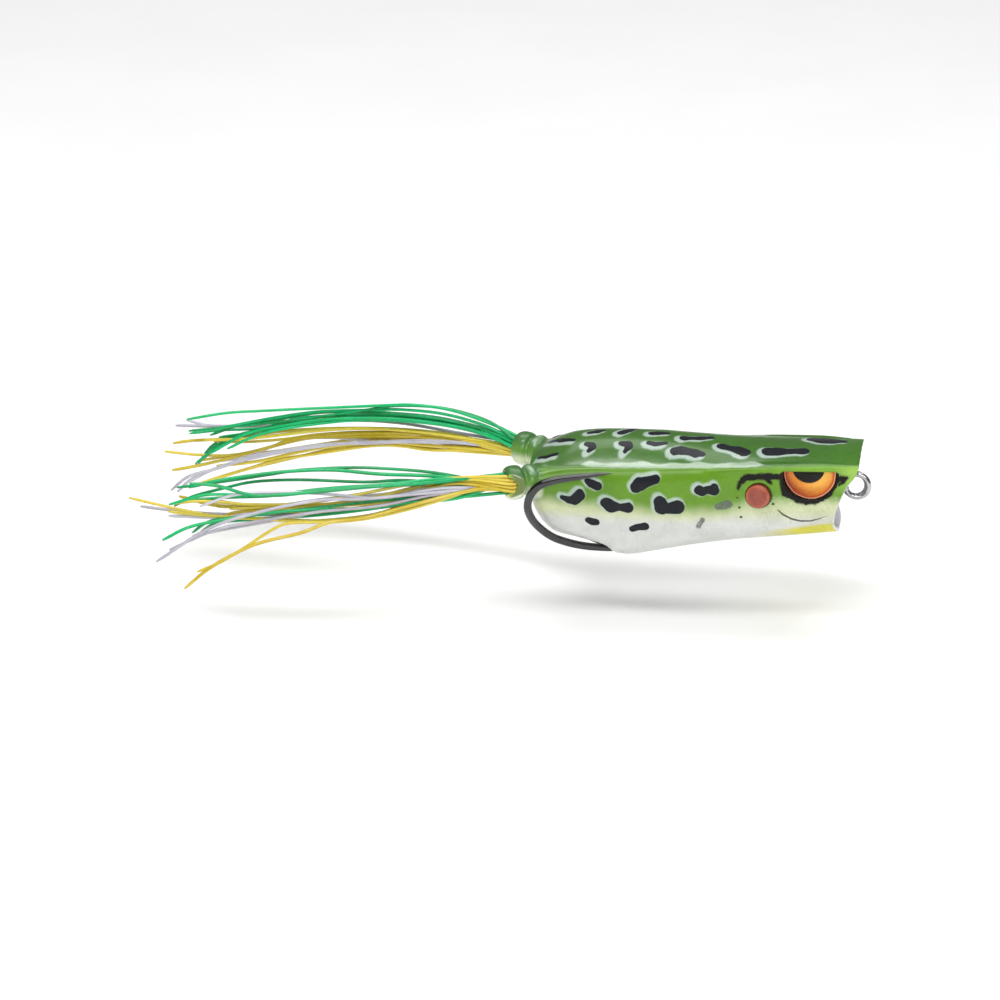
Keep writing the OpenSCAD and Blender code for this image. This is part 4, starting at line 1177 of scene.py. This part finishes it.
# Each strand runs through these points, in millimetres, from the collar to its tip.
STRANDS = {
    "right_gold": [
        [(-62.3, -9.4, 1.8), (-70.5, -12.5, 2.7), (-78.7, -15.1, 1.5), (-85.8, -16.9, 0), (-95.2, -18.7, -1.3), (-106.4, -19.9, -1.6), (-113.2, -20.3, -1.5)],
        [(-62.3, -9.4, 1), (-70.5, -12.3, 0.8), (-78.7, -14.7, -1.4), (-85.9, -16.2, -3.6), (-95.4, -17.6, -4.7), (-101, -18.2, -4.7), (-109.4, -18.5, -4.7), (-118, -18.5, -3.6), (-124.8, -18.2, -2.5), (-129.6, -18.2, -1.6)],
        [(-62.3, -9.5, 0.6), (-70.3, -13.7, 0.4), (-78.4, -17.6, -0.9), (-86.4, -21, -2.4), (-92.4, -23.2, -2.7), (-97.3, -24.8, -4.2), (-104.4, -26.9, -5.5), (-109.4, -28.1, -7.7), (-113.8, -29.2, -10.5), (-117.7, -30, -14.1)],
        [(-62.9, -9.7, 0.5), (-73, -14.6, -0.6), (-83.9, -19, -2.7), (-91.5, -21.5, -3.1), (-99.2, -23.6, -2.8), (-102.5, -24.5, -3.9), (-107.5, -25.4, -7.4), (-111.9, -26.3, -10.3), (-115.9, -27, -12.1)],
        [(-62.3, -9.4, 2.1), (-68.8, -12.2, 2.9), (-75.9, -14.9, 3), (-81.3, -16.6, 2.2), (-89.6, -18.8, 0.9), (-97.9, -20.4, -0.4), (-107.3, -21.7, -0.7), (-115.7, -22.6, -0.1), (-121.4, -22.8, -0.6)],
        [(-62.3, -9.4, 1.4), (-70.5, -12.6, 1.8), (-78.6, -15.3, 0.6), (-84.1, -16.8, -0.9), (-92.4, -18.5, -1.5), (-100.8, -19.7, -1.7), (-109.2, -20.4, -2.2), (-112, -20.6, -3.1)],
        [(-62.3, -9.4, 1.9), (-70.5, -12.2, 2.1), (-78.7, -14.4, 0.9), (-87.1, -16, -0.7), (-95.4, -17.1, -1.6), (-103.3, -17.6, -2.2), (-110.7, -17.7, -2.1), (-115.2, -17.7, -1.7)],
        [(-62.3, -9.4, 0.8), (-70.4, -12.8, 0.5), (-78.6, -15.6, -1.3), (-85.7, -17.7, -3.2), (-94, -19.6, -3.9), (-100.7, -20.7, -3.7), (-109.1, -21.7, -3.2), (-115.8, -22.3, -2.5), (-121.7, -22.5, -1.9)],
        [(-62.3, -9.4, 1.3), (-70.5, -12.1, 1.2), (-77.6, -14.1, -0.2), (-84.3, -15.5, -1.8), (-92.1, -16.7, -2.7), (-99.9, -17.3, -3.2), (-106.7, -17.5, -2.9), (-114.1, -17.5, -2.8), (-120.7, -17.1, -1.3)],
        [(-62.3, -9.4, 2), (-70.4, -12.7, 2.7), (-79.7, -15.8, 2.2), (-88.5, -18, 0.8), (-98.5, -19.9, -0.4), (-106.3, -20.8, -1.4), (-110.8, -21.2, -1.8)],
    ],
    "right_green": [
        [(-62.9, -9.6, 2.5), (-73.2, -13, 3.6), (-81.5, -15.1, 4.9), (-89.8, -16.5, 5.4), (-98.2, -17.4, 5), (-103.9, -17.7, 4), (-109.5, -17.8, 2.8), (-116.3, -17.7, 1.3), (-120.9, -17.5, 0.4)],
        [(-62.9, -9.6, 2.2), (-78.7, -14.5, 2.7), (-87, -16.2, 2.7), (-98.2, -17.5, 3), (-106.7, -17.9, 2.4), (-112.3, -18, 1), (-118, -17.9, -0.8), (-121.5, -17.7, -2.9)],
        [(-62.9, -9.7, 1.9), (-78.6, -15.4, 2.2), (-86.9, -17.6, 2.3), (-95.2, -19.3, 2), (-103.5, -20.5, 1.1), (-110.3, -21, 0.7), (-115.9, -21.4, 0), (-119.9, -21.5, -0.7)],
        [(-62.9, -9.7, -0.5), (-70.4, -13.2, -0.7), (-78.5, -16.5, -0.7), (-86.6, -19.3, -1.2), (-94.9, -21.7, -1), (-103.2, -23.5, -1.3), (-109.8, -24.7, -2.1), (-117.1, -25.8, -3.4), (-122.1, -26.3, -6)],
        [(-62.9, -9.6, -0.2), (-73.2, -13.1, -1.1), (-81.5, -15.2, -1.9), (-89.8, -16.8, -2.9), (-98.2, -17.7, -3.9), (-106.6, -18.2, -4.7), (-113.4, -18.3, -5.6), (-116.8, -18.3, -7.6)],
        [(-62.9, -9.6, 2.2), (-74.3, -13.7, 3.4), (-84.2, -16.2, 4.3), (-92.5, -17.7, 5.3), (-99.8, -18.6, 5.1), (-106.5, -19, 4.1), (-113.3, -19.3, 2.7), (-118.4, -19.3, 1.2)],
        [(-62.9, -9.7, 1.8), (-73.1, -14, 3.1), (-81.3, -16.9, 2.9), (-89.5, -19.2, 2.5), (-100.6, -21.6, 1.6), (-107.2, -22.5, 1.8), (-114.5, -23.4, 1.9), (-121.3, -23.9, -0.3)],
        [(-62.9, -9.7, 1.7), (-75.7, -15.8, 2.9), (-86.6, -19.8, 3), (-97.5, -23.1, 2.7), (-105.8, -25, 2.6), (-111.9, -26.2, 4.4), (-116.9, -27, 4.9)],
        [(-62.9, -9.7, 0), (-72, -13.5, -0.2), (-80.8, -16.5, -0.2), (-89.5, -19, -0.6), (-99.5, -21, -1.4), (-107.3, -22.1, -2.5), (-114, -22.9, -3.7), (-117.4, -23.1, -6.2)],
    ],
    "right_silver": [
        [(-62.9, -9.7, 0.8), (-70.4, -13.4, 0.9), (-78.4, -17, 1), (-86.6, -20.1, 0.9), (-94.7, -22.7, 1.2), (-105.8, -25.4, -0.7), (-114.1, -27.1, -3.5), (-123, -28.4, -9.7)],
        [(-62.9, -9.7, 0.4), (-70.4, -13.2, 0.5), (-75.8, -15.6, 0.3), (-83.9, -18.7, -0.7), (-94.8, -22, -1.2), (-105.9, -24.5, -2.9), (-112.5, -25.7, -4.2), (-120.9, -26.8, -7.8)],
        [(-62.9, -9.6, 0.7), (-70.5, -12.1, 0.6), (-78.7, -14.4, 0.3), (-87.1, -16, -1), (-98.3, -17.2, -3.5), (-112.4, -17.6, -4.3), (-120.9, -17.2, -4.2), (-127.8, -16.8, -3.6)],
        [(-62.9, -9.7, 1.1), (-73.1, -14.4, 1.5), (-83.9, -18.6, 0.6), (-92.1, -21.2, 1.8), (-100.4, -23.2, 2.8), (-108.7, -24.8, 2.8), (-115.3, -25.9, 0.5)],
        [(-62.9, -9.6, 0.6), (-73.2, -13.4, 0.5), (-81.4, -15.8, -0.2), (-90.8, -17.8, -1.4), (-100.9, -19.2, -3.7), (-110.4, -19.8, -5.9), (-117.8, -20, -7.8)],
        [(-62.9, -9.6, 1), (-73.2, -13.2, 1.2), (-84.2, -15.9, 0.3), (-94.3, -17.5, -0.5), (-103.2, -18.3, -2.2), (-111.1, -18.5, -4.2), (-122.5, -18.3, -4.7)],
    ],
    "left_green": [
        [(-62.4, 9.4, 1.9), (-67.7, 11.3, 4.6), (-75.4, 13.8, 6), (-82.4, 15.4, 6.1), (-88.2, 16.5, 5.4), (-99.7, 17.8, 3.9), (-111.1, 18.2, 2.6), (-117.9, 18.2, 1.9), (-125.3, 17.8, 0.6)],
        [(-62.4, 9.5, 1.6), (-68.9, 12, 3.1), (-76.6, 14.5, 3.8), (-85.4, 16.8, 3.5), (-94.1, 18.4, 2.4), (-102.8, 19.5, 1.3), (-108.5, 19.9, -0.3), (-114.2, 20.2, -2.8), (-118.2, 20.2, -4.2), (-124.4, 20.2, -9.3)],
        [(-62.4, 9.5, 1.3), (-70.8, 13.3, 2.2), (-79.8, 17, 2.2), (-88.6, 19.9, 1.5), (-97.4, 22.2, 0.3), (-106.1, 24, -2), (-111.9, 24.9, -3.9), (-116.6, 25.6, -5.6), (-121.7, 26.1, -7.2), (-124.9, 26.4, -11.4)],
        [(-62.4, 9.4, 2.2), (-68.3, 11.6, 5), (-76.6, 14.2, 6.1), (-85.3, 16.3, 5.5), (-91.1, 17.3, 4.2), (-99.8, 18.3, 2.2), (-108.3, 18.7, 0.5), (-116.9, 18.9, -1.2), (-125.3, 18.6, -2.4)],
        [(-62.4, 9.5, 1.3), (-73.7, 14.2, 2.6), (-85.6, 18, 2.1), (-94.3, 20.1, 1.2), (-103, 21.6, -0.4), (-109.4, 22.4, -2.5), (-115.7, 23.1, -4), (-120.8, 23.3, -6.7), (-123.1, 23.5, -9.3)],
        [(-63, 9.7, 1.5), (-72, 13.6, 3.2), (-82.7, 17.4, 3.4), (-91.5, 19.8, 2.3), (-100.2, 21.6, 1.9), (-106, 22.5, -0.2), (-111.7, 23.2, -2.6), (-120.3, 24, -3.9), (-126.1, 24.3, -4.9)],
        [(-62.4, 9.5, 1.4), (-70.7, 12.7, 2.8), (-79, 15.4, 3.2), (-88.4, 17.7, 2.7), (-96.5, 19.1, 2.3), (-103.4, 20, 0.9), (-110.3, 20.6, -1.4), (-115.4, 20.9, -3), (-120, 20.9, -4.1)],
        [(-62.4, 9.5, 1.6), (-69.6, 12.5, 3.3), (-77.9, 15.5, 3.8), (-86.1, 18, 3.4), (-94.3, 19.9, 2.7), (-102.4, 21.3, 1.3), (-109.3, 22.1, -0.5), (-116.2, 22.7, -1.9), (-121.9, 23, -4.1)],
        [(-62.4, 9.4, 1.2), (-71.8, 12.6, 2.7), (-82.4, 15.2, 2.9), (-92.8, 16.9, 2.1), (-102, 17.6, 0.5), (-108.8, 17.7, -0.9), (-113.3, 17.7, -2.4), (-117.8, 17.6, -4.7)],
        [(-62.4, 9.4, 1.3), (-71.3, 12.4, 2.7), (-80.6, 14.8, 3.2), (-89.9, 16.5, 2.9), (-99.7, 17.4, 1.7), (-107.6, 17.6, -0.2), (-114.5, 17.7, -2.2), (-121.2, 17.3, -5.9)],
        [(-62.4, 9.4, 1.8), (-68.9, 11.8, 4), (-76.6, 14.3, 5), (-84.8, 16.2, 4.8), (-92.9, 17.7, 3.7), (-101, 18.6, 2.7), (-107.8, 18.9, 1.5), (-114.6, 19.2, -0), (-120.3, 19.1, -1.3)],
    ],
    "left_gold": [
        [(-63, 9.7, 0.6), (-73.8, 14.4, 0.7), (-82.7, 17.6, 0.3), (-91.5, 20, -0.5), (-100.2, 21.9, -1.6), (-108.9, 23.2, -3.1), (-117.5, 24.2, -5.4), (-126.1, 24.9, -6.6), (-129.5, 25.1, -7.3)],
        [(-63, 9.7, 0.3), (-73.7, 13.9, 0), (-85.5, 17.3, -0.9), (-94.2, 19.1, -2.1), (-102.9, 20.4, -3.3), (-111.5, 21.2, -6), (-120, 21.6, -8.7), (-125.7, 21.7, -10.2), (-129.1, 21.8, -11)],
        [(-63, 9.7, -0.1), (-73.7, 13.6, -1.7), (-79.6, 15.4, -2.6), (-85.4, 16.8, -2.6), (-91.2, 18, -3.3), (-99.9, 19.2, -5.4), (-108.5, 19.9, -7.5), (-114.2, 20.3, -9.7), (-121, 20.3, -12.2), (-125.6, 20.3, -14.1)],
        [(-63, 9.7, -0.3), (-70.8, 13, -1.7), (-79.7, 16.2, -2.7), (-88.5, 18.7, -3.1), (-97.2, 20.6, -4.9), (-105.9, 22, -7.6), (-114.5, 23, -10.5), (-123.1, 23.5, -14.1)],
        [(-63, 9.7, 0.6), (-76.7, 14.9, 0.4), (-88.4, 18.1, -0.8), (-97.1, 19.8, -2.1), (-105.8, 20.9, -3.6), (-110.4, 21.3, -5.4), (-117.2, 21.8, -7.5), (-124.1, 22, -8.1), (-130.6, 22.1, -8)],
        [(-63, 9.7, 0.5), (-71.9, 13, 0.9), (-81.3, 15.8, 0.7), (-90.6, 17.8, 0.1), (-99.9, 19.1, -1), (-107.9, 19.7, -2.3), (-115.9, 20.1, -3.6), (-122.7, 20.1, -4.2)],
        [(-63, 9.8, 0.1), (-73.8, 14.6, -1.1), (-83.9, 18.4, -1.9), (-93.3, 21.1, -3.2), (-102.7, 23.2, -5.6), (-110.8, 24.5, -7.7), (-118.8, 25.6, -9.4), (-125.1, 26.2, -11)],
        [(-63, 9.7, 0.3), (-73.2, 14.2, 0.2), (-83.3, 17.8, -0.4), (-92.7, 20.4, -1.4), (-101.4, 22.3, -3), (-108.3, 23.3, -4.8), (-115.3, 24.3, -6.1), (-121.6, 24.7, -6.4)],
        [(-63, 9.7, -0), (-71.9, 12.9, -1), (-80.1, 15.3, -1.7), (-88.3, 17.1, -2.1), (-96.4, 18.3, -3.4), (-104.4, 19.1, -5.3), (-112.4, 19.5, -7.7), (-120.3, 19.5, -9.3)],
    ],
    "left_silver": [
        [(-64.8, 10.3, 0.3), (-76.5, 13.8, -0.4), (-91.1, 16.5, -2.1), (-99.7, 17.3, -3.4), (-108.2, 17.5, -5.1), (-115, 17.5, -6.9), (-120.1, 17.2, -8.8), (-125.1, 16.8, -10.5), (-128.5, 16.7, -13.6)],
        [(-64.8, 10.3, 0.4), (-77.7, 14.3, -0.4), (-91.1, 16.9, -2.2), (-99.7, 17.8, -3.3), (-110, 18.2, -5.6), (-116.8, 18.2, -7.9), (-124.1, 17.8, -11.1), (-127.5, 17.7, -14.1)],
        [(-63, 9.8, 1.1), (-72, 14, 2.2), (-82.8, 18.3, 2.2), (-91.6, 21.1, 1.4), (-100.4, 23.3, -0.3), (-112, 25.5, -2.8), (-120.7, 26.7, -3.9), (-129.3, 27.6, -4.6)],
        [(-63.6, 10, 0.6), (-76.8, 15.6, -0.6), (-88.6, 19.5, -2.9), (-97.9, 21.7, -3.2), (-106.1, 23.2, -4.5), (-110.7, 23.9, -6.7), (-116.4, 24.7, -9.5), (-122.2, 25.1, -10.7)],
        [(-63.6, 9.9, 0.4), (-75.4, 14.1, -0.3), (-88.3, 17.2, -2.2), (-98.7, 18.8, -3.8), (-106.7, 19.4, -5.4), (-114.1, 19.8, -7.5), (-121, 19.8, -9.9), (-126, 19.7, -12.8)],
        [(-63.6, 10.1, 0.7), (-73.8, 15, 1.1), (-85.2, 19.5, 0.9), (-94.6, 22.5, 0), (-104, 24.9, -1.8), (-113.3, 26.8, -3.4), (-122, 28.1, -4.7), (-127.5, 28.8, -3.9)],
    ],
}



def bundle_spots():
    p = 0.66
    pts = [(0, 0)]
    pts += [(p * math.cos(math.radians(60 * i)), p * math.sin(math.radians(60 * i))) for i in range(6)]
    pts += [(1.93 * p * math.cos(math.radians(30 * i + 15)), 1.93 * p * math.sin(math.radians(30 * i + 15))) for i in range(12)]
    pts += [(2.62 * p * math.cos(math.radians(51.43 * i + 10)), 2.62 * p * math.sin(math.radians(51.43 * i + 10))) for i in range(7)]
    return pts


rng = np.random.default_rng(11)


def assign(curves, side):
    """Gives each strand a place in the bundle: high strands high, so that they don't cross in the bore."""
    spots = bundle_spots()
    while len(spots) < len(curves):
        spots.append((rng.uniform(-1.2, 1.2), rng.uniform(-1.2, 1.2)))
    first = {"gold": 9, "silver": -9, "green": 0} if side < 0 else {"gold": -1.0, "silver": -0.2, "green": 1.0}
    order = sorted(range(len(curves)), key=lambda i: 0.35 * (curves[i][1][2] + curves[i][2][2]) + first[tags[i]])
    up, inw = (0.45, 1.0) if side < 0 else (1.0, -0.25)
    slots = sorted(range(len(spots)), key=lambda i: up * spots[i][1] - inw * spots[i][0])[:len(curves)]
    return {i: spots[s] for i, s in zip(order, slots)}


for side, word in ((-1, "right"), (1, "left")):
    fr = np.array(collar_frame(side), float)
    allc, tags = [], []
    for dye in ("green", "gold", "silver"):
        for c in STRANDS[word + "_" + dye]:
            allc.append(c)
            tags.append(dye)
    places = assign(allc, side)
    parts = {d: [] for d in DYES}
    tints = {d: [] for d in DYES}
    for i, c in enumerate(allc):
        ox, oy = places[i]
        base = [put([(ox, oy, s)], fr)[0] for s in (-7.6, -6, -4, -1.5, 1.0, 3.0, 4.6)]
        pts = [np.array(q, float) for q in c]
        # the first traced point lies by the collar: start after it
        pts = [q for q in pts if q[0] < -66.5]
        k = rng.uniform(0.30, 0.37)
        path = spline(base + pts, 96)
        n = len(path)
        t = np.linspace(0, 1, n)
        wob = np.stack([np.zeros(n), 0.35 * np.sin(9 * t + 6 * rng.random()) * t ** 2,
                        0.22 * np.sin(11 * t + 6 * rng.random()) * t ** 2], 1)
        path = path + wob
        rad = np.full(n, k)
        rad *= 1 - 0.12 * t
        rad[-1] *= 0.55
        rad[-2] *= 0.9
        v, f = tube(path, rad, 8, flat=1.12)
        parts[tags[i]].append((v, f))
        tints[tags[i]].append(np.full(len(v), rng.random()))
    for dye in parts:
        v, f = join_parts(parts[dye])
        o = mesh_obj(word + "_skirt_" + dye, v, f)
        fix_normals(o)
        add_attr(o, "tint", np.concatenate(tints[dye]))
        o.data.materials.append(DYES[dye])
        m = fr[:3, 3]
        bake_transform(o)
        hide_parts(word + "_strands_" + dye)
        if dye == "gold":
            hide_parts(word + "_skirt_root")

# ------------------------------------------------------------------ stage and light
floor_z = CAD_LO.z - 0.0105      # clear of the hook at the end of its swing
me = bpy.data.meshes.new("floor")
bm = bmesh.new()
bmesh.ops.create_grid(bm, x_segments=8, y_segments=8, size=4.0)
bm.to_mesh(me)
bm.free()
floor = link("floor", me)
floor.location = (0, 1.2, floor_z)
Fm = Mat("floor_paper")
fnz = Fm.noise(30, 3)
floor.data.materials.append(Fm.done(Fm.principled(
    Base_Color=Fm.mix(Fm.ramp(fnz, 0.3, 0.7), srgb(250, 250, 250), srgb(252, 252, 252)), Roughness=0.9)))

world = bpy.data.worlds.new("world")
SC.world = world
world.use_nodes = True
world.node_tree.nodes["Background"].inputs[0].default_value = (1, 1, 1, 1)
world.node_tree.nodes["Background"].inputs[1].default_value = 0.2


def area(name, loc, target, sx, sy, power):
    l = bpy.data.lights.new(name, "AREA")
    l.shape, l.size, l.size_y, l.energy = "RECTANGLE", sx, sy, power
    o = bpy.data.objects.new(name, l)
    SC.collection.objects.link(o)
    o.location = loc
    o.rotation_mode = "QUATERNION"
    o.rotation_quaternion = (Vector(target) - Vector(loc)).to_track_quat("-Z", "Y")
    return o


mid = (-0.06, 0, -0.003)
area("soft_top", (-0.12, -0.22, 0.60), mid, 0.55, 0.14, 2.6)
area("soft_front", (0.12, -0.78, 0.46), mid, 0.9, 0.32, 4.0)
area("soft_over", (0.0, 0.35, 0.95), mid, 1.0, 0.5, 5.6)

SC.view_settings.view_transform = "Standard"
SC.view_settings.look = "None"
SC.view_settings.exposure = 0.0
SC.view_settings.gamma = 1.0
